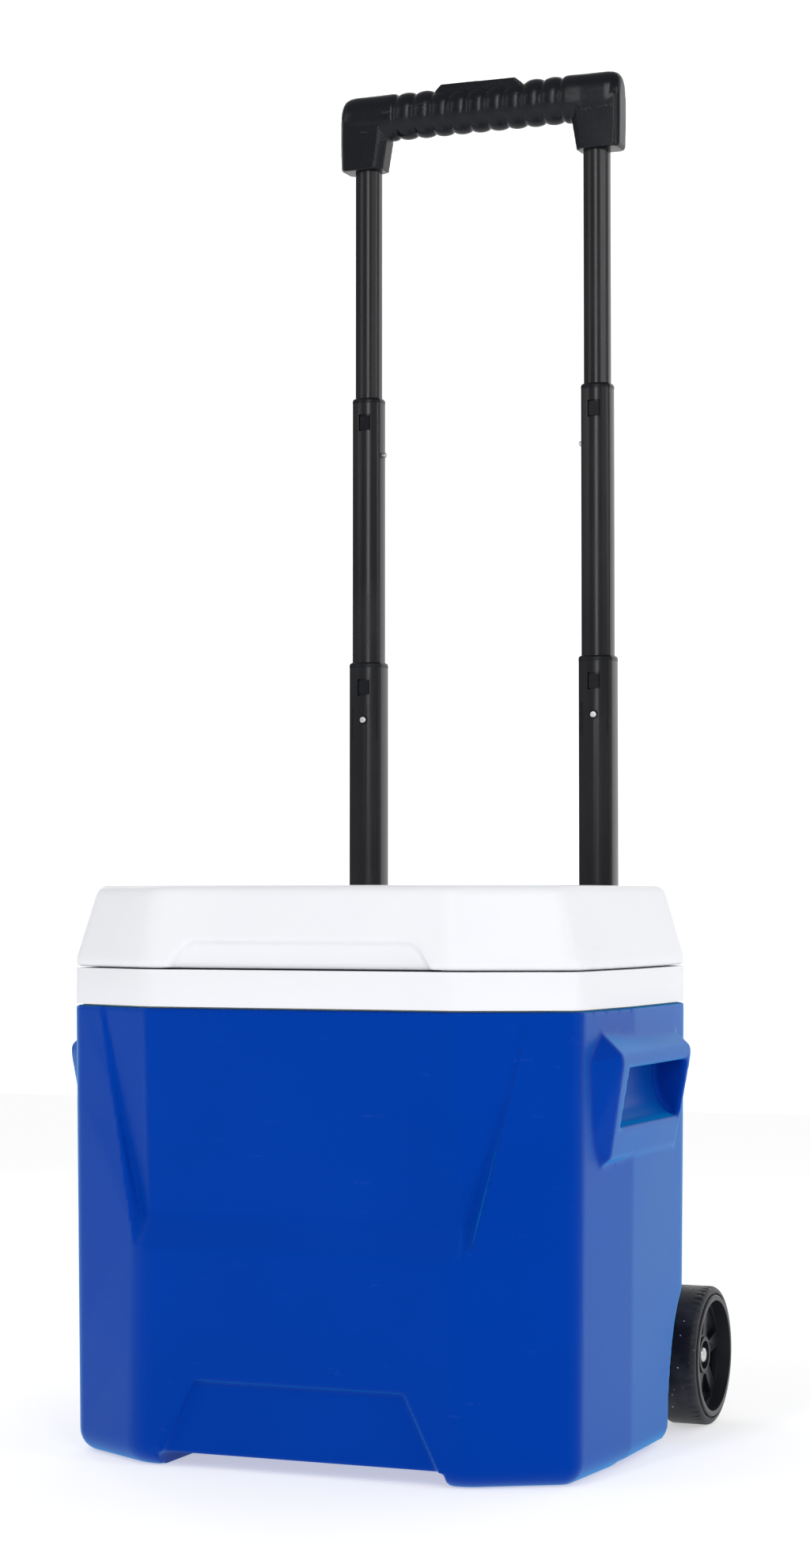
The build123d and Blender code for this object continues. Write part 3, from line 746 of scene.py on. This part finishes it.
BASE_PLAN = Plan([(117.0, -179.5), (180.2, -142.7), (187.4, -55.0), (187.4, 62.0), (156.0, 104.0)])
RIM_PLAN = Plan([(112.0, -179.5), (183.6, -145.5), (190.8, -55.0), (190.8, 62.0), (158.0, 104.0)])
LID_PLAN = Plan([(108.0, -171.5), (169.6, -139.5), (176.8, -55.0), (176.8, 58.0), (152.0, 100.0)])
ROOM_PLAN = Plan([(95.0, -157.0), (160.0, -130.0), (167.0, -55.0), (167.0, 62.0), (140.0, 84.0)])
FLOOR_PLAN = Plan([(90.0, -146.0), (138.0, -118.0), (141.0, -55.0), (141.0, 50.0), (120.0, 70.0)])
LINER_RIM = Plan([(166.5, -154.5), (166.5, 81.5)], (29.5, 29.5))
LINER_FOOT = Plan([(139.5, -144.5), (139.5, 69.5)], (29.5, 29.5))


def mm(points: list[tuple[float, ...]]) -> list[tuple[float, ...]]:
    """Points in metres from points in millimetres."""
    return [tuple(value * MM for value in point) for point in points]


def oblong(left: float, right: float, low: float, high: float) -> list[Point2]:
    """A rectangle's corners in metres from its limits in millimetres."""
    return mm([(left, low), (right, low), (right, high), (left, high)])


@dataclass
class Shell:
    """The blue outer shell with its recessed panels, side handles and wheel wells."""

    top: float = 303.5
    rounding: float = 15.0
    grid: float = 1.7
    ledge_top: float = 166.0
    ledge_base: float = 145.0
    ledge_depth: float = 9.0
    carry_y: float = -38.5
    well_x: float = 156.0

    def form(self) -> Piece:
        """The plain form: a tapered box with a rounded base edge."""
        rings = []
        steps = 6
        for step in range(steps + 1):
            angle = math.pi / 2 * step / steps
            height = self.rounding * (1 - math.cos(angle))
            inset = self.rounding * (1 - math.sin(angle))
            rings.append(BASE_PLAN.towards(RIM_PLAN, height / self.top).ring(height, inset))
        for height in (80.0, 160.0, 240.0, self.top):
            rings.append(BASE_PLAN.towards(RIM_PLAN, height / self.top).ring(height))
        return loft("blue shell", rings)

    def shield(self) -> Piece:
        """The tool for the large front panel, with sloping side walls and a ledge."""
        front = [(-176.0, 306.0), (176.0, 306.0), (130.0, 144.0), (-130.0, 144.0)]
        back = [(-146.0, 306.0), (146.0, 306.0), (100.0, 144.0), (-100.0, 144.0)]
        faces = ((-200.0, front), (-140.0, back))
        tool = loft("shield", [mm([(x, y, z) for x, z in face]) for y, face in faces])
        levels = ((105.0, -1.0), (self.ledge_base, 0.0), (self.ledge_top, self.ledge_depth), (306.0, 1.0))
        keep = [
            BASE_PLAN.towards(RIM_PLAN, height / self.top).ring(height, inset, rounded=False)
            for height, inset in levels
        ]
        combine(tool, loft("keep", keep), Cut.REMOVE)
        return tool

    def base_tools(self) -> list[Piece]:
        """The tools for the low front panel, the raised middle and the lift behind the feet."""
        panel = mm([(-104.0, -2.0), (104.0, -2.0), (74.0, 59.0), (-74.0, 59.0)])
        return [
            prism("panel", panel, Along.Y, -0.19, -0.1745),
            prism("arch", oblong(-102.0, 102.0, -3.0, 10.0), Along.Y, -0.2, 0.2),
            prism("lift", oblong(-200.0, 200.0, -3.0, 4.0), Along.Y, -0.068, 0.2),
        ]

    def hood(self, side: int) -> Piece:
        """The form of one side handle that stands out from the wall."""
        outline = [
            (183.0, 72.0, 292.0), (183.0, 93.0, 270.0), (183.0, 87.0, 218.0), (183.0, 74.0, 200.0),
            (200.6, 75.0, 276.0), (202.0, 76.0, 273.0), (202.0, 75.0, 267.5), (191.6, 71.0, 207.0),
        ]
        points = []
        for x, y, z in outline:
            points += [(side * x, self.carry_y + y, z), (side * x, self.carry_y - y, z)]
        return hull("hood", mm(points))

    def pocket(self, side: int, margin: float = 0.0) -> Piece:
        """The tool for the finger space under one side handle's lip.

        Args:
            side: -1 for the left handle, 1 for the right one.
            margin: How much longer the tool is at each end, in millimetres.

        Returns:
            The tool.
        """
        profile = [
            (220.0, 266.0), (196.5, 265.5), (195.0, 271.0), (181.0, 271.0), (176.5, 262.0),
            (177.0, 247.0), (181.0, 236.0), (188.0, 228.5), (196.0, 226.0), (220.0, 226.0),
        ]
        ends = (self.carry_y - 60.0 - margin, self.carry_y + 68.0 + margin)
        return loft("pocket", [mm([(side * x, y, z) for x, z in profile]) for y in ends])

    def well(self, side: int) -> Piece:
        """The tool for the wheel space at one back corner."""
        curve = [
            (27, -5), (27.6, 20), (29, 36), (32, 52), (36.5, 68), (42, 82), (50, 94),
            (60, 104), (73, 112), (90, 117), (125, 119), (125, -5),
        ]
        start, end = sorted((side * self.well_x * MM, side * 0.23))
        return prism("well", mm(curve), Along.X, start, end)

    def build(self, palette: Palette) -> None:
        """Builds and dresses the shell."""
        shell = self.form()
        for side in (-1, 1):
            combine(shell, self.hood(side), Cut.JOIN)
        tools = [self.shield()] + self.base_tools()
        for side in (-1, 1):
            tools += [self.pocket(side), self.well(side)]
        for tool in tools:
            combine(shell, tool, Cut.REMOVE)
        soften(shell, self.grid * MM, 4)
        combine(shell, loft("hollow", [FLOOR_PLAN.ring(34.0), ROOM_PLAN.ring(320.0)]), Cut.REMOVE)
        combine(shell, loft("liner room", [LINER_FOOT.ring(34.5), LINER_RIM.ring(330.0)]), Cut.REMOVE)
        thin_out(shell, 0.4)
        shade(shell, 50.0)
        finish_piece(shell, palette.blue, "chest", ["outer_shell"])


@dataclass
class Lid:
    """The white lid with its finger recess and hinge knuckles, and the pan under it."""

    base: float = 330.2
    lip: float = 6.0
    top: float = 385.0
    rounding: float = 6.0
    grid: float = 1.8
    pivot: Point2 = (102.0, 343.0)
    hinge_x: float = 135.0
    knuckle_half: float = 11.6

    def form(self) -> Piece:
        """The plain form: a lip, sloping sides and a rounded top edge."""
        start = self.base + self.lip
        rings = [RIM_PLAN.ring(self.base, 0.8), RIM_PLAN.ring(self.base + 0.8), RIM_PLAN.ring(start)]
        span = self.top - start
        for height in (start + 15, start + 30, self.top - self.rounding):
            share = (height - start) / span
            rings.append(RIM_PLAN.towards(LID_PLAN, share).ring(height))
        steps = 5
        for step in range(1, steps + 1):
            angle = math.pi / 2 * step / steps
            height = self.top - self.rounding * (1 - math.sin(angle))
            inset = self.rounding * (1 - math.cos(angle))
            share = (height - start) / span
            rings.append(RIM_PLAN.towards(LID_PLAN, share).ring(height, inset * 0.8))
        return loft("white lid", rings)

    def finger_recess(self) -> Piece:
        """The tool for the finger recess under its ledge."""
        front = [(-99.0, 325.0), (99.0, 325.0), (86.0, 348.5), (80.0, 351.0), (-80.0, 351.0), (-86.0, 348.5)]
        back = [(-96.0, 325.0), (96.0, 325.0), (83.0, 344.0), (77.0, 347.0), (-77.0, 347.0), (-83.0, 344.0)]
        rings = [mm([(x, -186.0, z) for x, z in front]), mm([(x, -174.2, z) for x, z in back])]
        return loft("finger recess", rings)

    def hinge_tools(self, side: int) -> tuple[Piece, Piece, Piece]:
        """The pocket, knuckle and pin hole of one hinge."""
        centre = side * self.hinge_x
        y, z = self.pivot
        pocket = prism("pocket", oblong(centre - 21, centre + 21, 90, 112), Along.Z, 0.325, 0.356)
        outline = [(y - 14, z + 6), (y - 14, z - 6)]
        for step in range(13):
            angle = math.radians(-90 + 15 * step)
            outline.append((y + 6.3 * math.cos(angle), z + 6.3 * math.sin(angle)))
        ends = (centre - self.knuckle_half) * MM, (centre + self.knuckle_half) * MM
        knuckle = prism("knuckle", mm(outline), Along.X, *ends)
        hole = [
            (y + 2.1 * math.cos(math.radians(30 * step)), z + 2.1 * math.sin(math.radians(30 * step)))
            for step in range(12)
        ]
        bore = prism("bore", mm(hole), Along.X, ends[0] - 0.01, ends[1] + 0.01)
        return pocket, knuckle, bore

    def build(self, palette: Palette, nodes: dict[str, Piece]) -> None:
        """Builds and dresses the lid."""
        lid = self.form()
        combine(lid, self.finger_recess(), Cut.REMOVE)
        soften(lid, self.grid * MM, 4)
        for side in (-1, 1):
            pocket, knuckle, bore = self.hinge_tools(side)
            combine(lid, pocket, Cut.REMOVE)
            combine(lid, knuckle, Cut.JOIN)
            combine(lid, bore, Cut.REMOVE)
        inner = loft("inner", [RIM_PLAN.ring(325.0, 8.5), RIM_PLAN.ring(334.0, 8.5)])
        combine(lid, inner, Cut.REMOVE)
        thin_out(lid, 0.5)
        shade(lid, 50.0)
        finish_piece(lid, palette.white, "lid", ["lid_shell"])
        pan = bevelled_copy(nodes["lid_pan"], "lid pan", 0.0008)
        finish_piece(pan, palette.white, "lid", ["lid_pan"])


@dataclass
class Liner:
    """The white liner with its collar and hinge ears."""

    edge: float = 1.0

    def build(self, palette: Palette, nodes: dict[str, Piece]) -> None:
        """Builds and dresses the liner."""
        liner = bevelled_copy(nodes["inner_liner"], "white liner and collar", self.edge * MM, 35.0)
        finish_piece(liner, palette.white, "chest", ["inner_liner"])


@dataclass(frozen=True)
class TubeSize:
    """One stage of the handle: its section, its ends and its body."""

    stage: str
    body: str
    width: float
    depth: float
    base: float
    top: float


@dataclass
class Handle:
    """The telescoping tubes with their collars, tabs and plugs."""

    tube_x: float = 93.0
    tube_y: float = 161.5
    bulge: float = 2.4
    corner: float = 2.2
    wall: float = 1.1
    cap: float = 4.0
    fit: float = 0.25
    pin_z: float = 513.1
    pin_hole: float = 3.4
    bow_share: float = 0.84

    def stages(self) -> list[TubeSize]:
        """The four stages from the outside in."""
        return [
            TubeSize("fixed", "chest", 30.4, 27.0, 76.0, 310.0),
            TubeSize("lower", "lower_stage", 26.2, 22.8, 255.0, 553.4),
            TubeSize("middle", "middle_stage", 22.8, 19.2, 498.4, 757.8),
            TubeSize("upper", "upper_stage", 19.4, 15.6, 702.8, 962.0),
        ]

    def section(self, size: TubeSize, side: int, height: float, grow: float = 0.0) -> list[Point3]:
        """A tube's outline at one height: bowed front and back, flat sides, rounded corners.

        Args:
            size: The stage.
            side: Minus one for the left tube and one for the right.
            height: Its height in millimetres.
            grow: How far the outline moves outward.

        Returns:
            The ring in metres.
        """
        half, deep = size.width / 2 + grow, size.depth / 2 + grow
        edge = deep - self.bulge
        corners = [(-half, -edge), (half, -edge), (half, edge), (-half, edge)]
        points = []
        steps = 6
        for face in (0, 1):
            sign = -1 if face == 0 else 1
            start, end = corners[2 * face], corners[2 * face + 1]
            before, after = corners[2 * face - 1], corners[(2 * face + 2) % 4]
            points += corner_arc(before, start, end, self.corner, 3)
            inner_start, inner_end = start[0] * self.bow_share, end[0] * self.bow_share
            for step in range(1, steps):
                share = step / steps
                x = inner_start + (inner_end - inner_start) * share
                rise = self.bulge * (1 - (2 * share - 1) ** 2)
                points.append((x, start[1] + sign * rise))
            points += corner_arc(start, end, after, self.corner, 3)
        return mm([(side * self.tube_x + x, self.tube_y + y, height) for x, y in points])

    def tube(self, size: TubeSize, side: int) -> Piece:
        """One hollow tube with its window and, on the lower stage, its pin hole."""
        name = f"{size.stage}_tube_{'right' if side > 0 else 'left'}"
        tube = loft(name, [self.section(size, side, z) for z in (size.base, size.top)])
        inner = [self.section(size, side, z, -self.wall) for z in (size.base - 5, size.top + 5)]
        combine(tube, loft("bore", inner), Cut.REMOVE)
        front, centre = (self.tube_y - size.depth / 2) * MM, side * self.tube_x
        if size.stage != "upper":
            window = oblong(centre - 4.8, centre + 4.8, size.top - 21.6, size.top - 9.0)
            combine(tube, prism("window", window, Along.Y, front - 0.005, front + 0.006), Cut.REMOVE)
        if size.stage == "lower":
            turns = [PIN_HOLE_TURN * step for step in range(16)]
            hole = [
                (centre + self.pin_hole * math.cos(turn), self.pin_z + self.pin_hole * math.sin(turn))
                for turn in turns
            ]
            combine(tube, prism("pin hole", mm(hole), Along.Y, front - 0.005, front + 0.006), Cut.REMOVE)
        return tube

    def collar(self, outer: TubeSize, inner: TubeSize, side: int) -> Piece:
        """The moulded collar on top of a tube, with the snap tab that fills its window."""
        name = f"{outer.stage}_collar_{'right' if side > 0 else 'left'}"
        end = outer.top + self.cap
        levels = [(outer.top + 0.05, 0.05), (end - 2.0, 0.05), (end - 0.7, -0.4), (end, -1.3)]
        collar = loft(name, [self.section(outer, side, z, grow) for z, grow in levels])
        hole = [self.section(inner, side, z, self.fit) for z in (outer.top - 5, outer.top + 10)]
        combine(collar, loft("hole", hole), Cut.REMOVE)
        centre, front = side * self.tube_x, self.tube_y - outer.depth / 2
        outline = oblong(centre - 3.9, centre + 3.9, outer.top - 20.6, outer.top - 10.0)
        combine(collar, prism("tab", outline, Along.Y, (front + 0.75) * MM, (front + 1.5) * MM), Cut.JOIN)
        return collar

    def build(self, palette: Palette, nodes: dict[str, Piece]) -> None:
        """Builds and dresses the tubes and collars and paints the plugs."""
        stages = self.stages()
        for place, size in enumerate(stages):
            for side, word in ((-1, "left"), (1, "right")):
                tube = self.tube(size, side)
                shade(tube, 35.0)
                node = f"{size.stage}_tube_{word}"
                finish_piece(tube, palette.tube, size.body, [node])
                if place + 1 < len(stages):
                    collar = self.collar(size, stages[place + 1], side)
                    shade(collar, 50.0)
                    bush = f"{size.stage}_bush_{word}"
                    finish_piece(collar, palette.black, size.body, [bush])
                plug = f"{size.stage}_plug_{word}"
                if plug in nodes:
                    paint(nodes[plug], palette.black)


@dataclass
class Grip:
    """The ribbed grip with its two elbows, the release button, and the screws and springs inside."""

    tube_y: float = 161.5
    bar_z: float = 979.3
    crest: float = 18.3
    valley: float = 15.9
    flatness: float = 0.74
    ribs: int = 9
    pitch: float = 14.9
    grid: float = 0.9
    half: float = 113.6
    base: float = 938.5
    button_half: float = 35.3

    def places(self) -> list[Point3]:
        """Half of the bar as places along X with the oval's upright and level radii."""
        end = self.half
        rings = [(end, 10.0, 6.0), (end - 0.8, 13.0, 8.6), (end - 3.0, 16.0, 10.6), (end - 6.5, 17.6, 11.6)]
        rings += [(end - 11.0, 18.2, 12.0), (84.0, 18.2, 12.2), (72.0, 18.4, 13.0), (69.6, 18.2, 13.0)]
        return rings + [(68.4, 17.4, 12.6)]

    def bar(self) -> Piece:
        """The ribbed bar as a closed form of oval rings."""
        start = -self.ribs * self.pitch / 2
        places = [(-x, tall, deep) for x, tall, deep in self.places()]
        for rib in range(self.ribs):
            for step in range(8):
                share = step / 8
                tall = self.valley + (self.crest - self.valley) * math.sin(math.pi * share) ** 0.55
                places.append((start + (rib + share) * self.pitch, tall, tall * self.flatness))
        places.append((-start, self.valley, self.valley * self.flatness))
        places += list(reversed(self.places()))
        turns = [2 * math.pi * step / 48 for step in range(48)]
        rings = []
        for x, tall, deep in places:
            oval = [(deep * math.cos(turn), tall * math.sin(turn)) for turn in turns]
            rings.append(mm([(x, self.tube_y + y, self.bar_z + z) for y, z in oval]))
        return loft("grip", rings)

    def leg(self, side: int) -> Piece:
        """The part of one elbow that comes down over the tube, with a bevelled inner edge."""
        rings = []
        for height, inner, outer in (
            (self.base, 79.0, self.half - 1.6),
            (self.base + 2.0, 78.7, self.half - 0.4),
            (960.0, 75.4, self.half),
            (978.0, 74.4, self.half),
        ):
            outline = [
                (outer, -7.6), (outer - 3.0, -11.2), (inner + 6.0, -11.2), (inner, -7.0),
                (inner, 7.0), (inner + 6.0, 11.2), (outer - 3.0, 11.2), (outer, 7.6),
            ]
            rings.append(mm([(side * x, self.tube_y + y, height) for x, y in outline]))
        return loft("leg", rings)

    def button(self, node: Piece) -> Piece:
        """The release button: a long cap with sloping ends on the CAD beam and rods."""
        half = self.button_half
        outline = [
            (-half, 986.0), (half, 986.0), (half, 994.4),
            (half - 5.5, 999.0), (5.0 - half, 999.4), (-half, 994.8),
        ]
        near, far = (self.tube_y - 7.6) * MM, (self.tube_y + 7.6) * MM
        cap = prism("release_button", mm(outline), Along.Y, near, far)
        soften(cap, 0.8 * MM, 2)
        combine(cap, bevelled_copy(node, "beam", 0.0003), Cut.JOIN)
        shade(cap, 45.0)
        return cap

    def screws(self, node: Piece) -> Piece:
        """The four grip screws, drawn in to the visible back face."""
        made = bevelled_copy(node, "grip screws", 0.0002)
        reach = [vertex.co.y for vertex in made.data.vertices]
        tips, heads = min(reach), max(reach)
        back, front = (self.tube_y + 11.0) * MM, (self.tube_y - 6.0) * MM
        for vertex in made.data.vertices:
            vertex.co.x -= 0.003 * (1 if vertex.co.x > 0 else -1)
            vertex.co.y = front + (vertex.co.y - tips) * (back - front) / (heads - tips)
            vertex.co.z += 0.002
        return made

    def springs(self, node: Piece) -> Piece:
        """The two button springs, raised with the bar."""
        made = bevelled_copy(node, "return springs", 0.0001, 80.0)
        for vertex in made.data.vertices:
            vertex.co.z += 0.0075
        return made

    def build(self, palette: Palette, nodes: dict[str, Piece]) -> None:
        """Builds and dresses the grip, the button, the screws and the springs."""
        grip = self.bar()
        for side in (-1, 1):
            combine(grip, self.leg(side), Cut.JOIN)
        combine(grip, prism("seat", oblong(-36.4, 36.4, 153.2, 169.8), Along.Z, 0.979, 1.02), Cut.REMOVE)
        soften(grip, self.grid * MM, 3)
        thin_out(grip, 0.6)
        finish_piece(grip, palette.grip, "upper_stage", ["grip_front", "grip_back"])
        button = self.button(nodes["release_button"])
        finish_piece(button, palette.grip, "button", ["release_button"])
        for name, make in (("grip_screws", self.screws), ("button_springs", self.springs)):
            finish_piece(make(nodes[name]), palette.steel, "upper_stage", [name])


@dataclass
class Wheel:
    """One rear wheel: its tread ring, and its hub with six windows."""

    side: int
    inner: float = 162.7
    outer: float = 192.4
    radius: float = 49.0
    rim: float = 43.0
    centre_y: float = 121.3
    lugs: int = 54

    def tread(self) -> Piece:
        """The tread ring with rounded shoulders and small lugs at the outer one."""
        width = self.outer - self.inner
        profile = [(0.0, self.rim), (0.0, self.radius - 3.0)]
        for step in range(1, 7):
            angle = math.pi / 2 * step / 6
            profile.append((3.0 * (1 - math.cos(angle)), self.radius - 3.0 + 3.0 * math.sin(angle)))
        profile += [(width - 8.2, self.radius), (width - 7.8, self.radius)]
        for step in range(7):
            angle = math.pi / 2 * step / 6
            profile.append((width - 4.0 + 4.0 * math.sin(angle), self.radius - 4.0 + 4.0 * math.cos(angle)))
        profile += [(width, self.rim + 1.2), (width - 1.4, self.rim + 0.9), (width - 1.6, self.rim)]
        steps = self.lugs * 6
        centre = (self.side * self.inner * MM, self.centre_y * MM, self.radius * MM)
        ring = turned("tread", mm([(self.side * x, r) for x, r in profile]), centre, steps)
        self.cut_lugs(ring, centre)
        return ring

    def cut_lugs(self, ring: Piece, centre: Point3) -> None:
        """Sinks a narrow band between the small lugs at the outer shoulder."""
        low, high = (self.outer - 7.5) * MM, (self.outer - 1.2) * MM
        axis = Vector((0.0, centre[1], centre[2]))
        for vertex in ring.data.vertices:
            place = abs(vertex.co.x)
            spoke = Vector((0.0, vertex.co.y, vertex.co.z)) - axis
            turn = (math.atan2(spoke.z, spoke.y) / (2 * math.pi) * self.lugs) % 1.0
            if low < place < high and spoke.length > (self.radius - 3.5) * MM and turn > 0.72:
                sunk = axis + spoke.normalized() * (spoke.length - 0.0005)
                vertex.co = (vertex.co.x, sunk.y, sunk.z)

    def build(self, palette: Palette, nodes: dict[str, Piece]) -> None:
        """Builds and dresses the wheel."""
        word = "right" if self.side > 0 else "left"
        tread = self.tread()
        tread.name = f"{word}_wheel_tread"
        shade(tread, 35.0)
        finish_piece(tread, palette.tyre, f"{word}_wheel", [f"wheel_tyre_{word}"])
        hub = bevelled_copy(nodes[f"wheel_hub_{word}"], f"{word} wheel hub", 0.0007)
        finish_piece(hub, palette.hub, f"{word}_wheel", [f"wheel_hub_{word}"])


@dataclass
class Ironwork:
    """The brackets, screws, axle parts, pins and foam, all close to their CAD shape."""

    edge: float = 0.8
    foam_inset: float = 2.5

    def core(self, node: Piece, name: str) -> Piece:
        """A foam core drawn in a little behind the skins around it.

        Args:
            node: The CAD foam.
            name: The new object's name.

        Returns:
            The core.
        """
        sheet = sheet_of(node)
        sheet.normal_update()
        moved = [(vertex, vertex.co - vertex.normal * self.foam_inset * MM) for vertex in sheet.verts]
        for vertex, spot in moved:
            vertex.co = spot
        return object_from(f"{name}_core", sheet)

    def build(self, palette: Palette, nodes: dict[str, Piece]) -> None:
        """Rounds the brackets and paints everything that is left."""
        for name in ("upper_bracket", "lower_bracket"):
            piece = bevelled_copy(nodes[name], name.replace("_", " "), self.edge * MM)
            finish_piece(piece, palette.black, "chest", [name])
        for name, body in (("insulation_foam", "chest"), ("lid_foam", "lid")):
            core = self.core(nodes[name], name)
            if body == "chest":
                for side in (-1, 1):
                    combine(core, Shell().pocket(side, self.foam_inset), Cut.REMOVE)
            finish_piece(core, palette.foam, body, [name])
        for name, node in nodes.items():
            if "screws" in name or "latch" in name or name in ("axle", "axle_caps", "hinge_pins"):
                paint(node, palette.steel)
            elif name == "axle_spacers":
                paint(node, palette.black)


@dataclass
class Studio:
    """The floor, the backdrop, the lights and the camera."""

    camera_place: Point3 = (0.8189, -2.0026, 0.3761)
    azimuth: float = 22.17
    elevation: float = -2.15
    lens: float = 70.13
    room_half: float = 22.0
    room_end: float = 11.0
    wall_height: float = 17.0
    floor_edge: float = 3.2
    world_light: float = 0.4
    lamps: tuple[tuple, ...] = (
        ("strip", -5.0, 1.7, 2.5, (0.3, 2.4), 21.0),
        ("right front", 36.0, 1.5, 2.6, (0.7, 1.2), 10.0),
        ("right", 76.0, 1.0, 2.2, (0.35, 1.8), 9.0),
        ("left front", -52.0, 1.6, 2.4, (0.9, 1.4), 5.0),
        ("left edge", -128.0, 0.9, 1.9, (0.3, 2.2), 3.5),
    )

    def card(self, name: str, corners: list[Point3], grey: float, glow: float) -> None:
        """A plain pale plane that belongs to the room."""
        sheet = bmesh.new()
        sheet.faces.new([sheet.verts.new(corner) for corner in corners])
        made = object_from(name, sheet)
        shader = Shader(name)
        shader.set(Base_Color=(grey, grey, grey, 1.0), Roughness=0.9, Specular_IOR_Level=0.1)
        shader.set(Emission_Color=(1.0, 1.0, 1.0, 1.0), Emission_Strength=glow)
        paint(made, shader.material)

    def lamp(self, name: str, azimuth: float, height: float, away: float, size: Point2, power: float) -> None:
        """One soft rectangular light that points at the middle of the object.

        Args:
            name: Its name.
            azimuth: Its direction from the front, in degrees toward the right.
            height: Its height in metres.
            away: Its distance from the object in metres.
            size: Its width and height in metres.
            power: Its power in watts.
        """
        data = bpy.data.lights.new(name, "AREA")
        data.shape = "RECTANGLE"
        data.size, data.size_y = size
        data.energy = power
        made = linked(name, data)
        turn = math.radians(azimuth)
        made.location = (math.sin(turn) * away, -math.cos(turn) * away, height)
        made.rotation_euler = (Vector((0.0, 0.0, 0.4)) - made.location).to_track_quat("-Z", "Y").to_euler()

    def build(self) -> None:
        """Sets up the room and the camera."""
        world = bpy.data.worlds.new("studio")
        bpy.context.scene.world = world
        world.use_nodes = True
        sky = world.node_tree.nodes["Background"].inputs
        sky["Color"].default_value = (1.0, 1.0, 1.0, 1.0)
        sky["Strength"].default_value = self.world_light
        wide, near, far, tall = self.room_half, self.floor_edge, self.room_end, self.wall_height
        self.card("floor", [(-wide, -wide, 0), (wide, -wide, 0), (wide, near, 0), (-wide, near, 0)], 0.7, 0.5)
        self.card("far floor", [(-wide, near, 0), (wide, near, 0), (wide, far, 0), (-wide, far, 0)], 0.3, 1.0)
        wall = [(-wide, far, 0), (wide, far, 0), (wide, far, tall), (-wide, far, tall)]
        self.card("backdrop", wall, 0.3, 1.0)
        for lamp in self.lamps:
            self.lamp(*lamp)
        data = bpy.data.cameras.new("camera")
        data.lens = self.lens
        data.sensor_width = 36.0
        camera = linked("camera", data)
        camera.location = self.camera_place
        yaw, pitch = math.radians(self.azimuth), math.radians(self.elevation)
        aim = Vector((-math.sin(yaw) * math.cos(pitch), math.cos(yaw) * math.cos(pitch), -math.sin(pitch)))
        camera.rotation_euler = aim.to_track_quat("-Z", "Y").to_euler()
        bpy.context.scene.camera = camera
        bpy.context.scene.view_settings.view_transform = "Standard"


def main() -> None:
    """Builds the cooler in order, then its studio."""
    logging.basicConfig(level=logging.INFO, format="%(message)s")
    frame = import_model()
    nodes = frame["nodes"]
    palette = Palette()
    Shell().build(palette)
    Liner().build(palette, nodes)
    Lid().build(palette, nodes)
    Handle().build(palette, nodes)
    Grip().build(palette, nodes)
    for side in (-1, 1):
        Wheel(side).build(palette, nodes)
    Ironwork().build(palette, nodes)
    Studio().build()


if __name__ == "__main__":
    main()
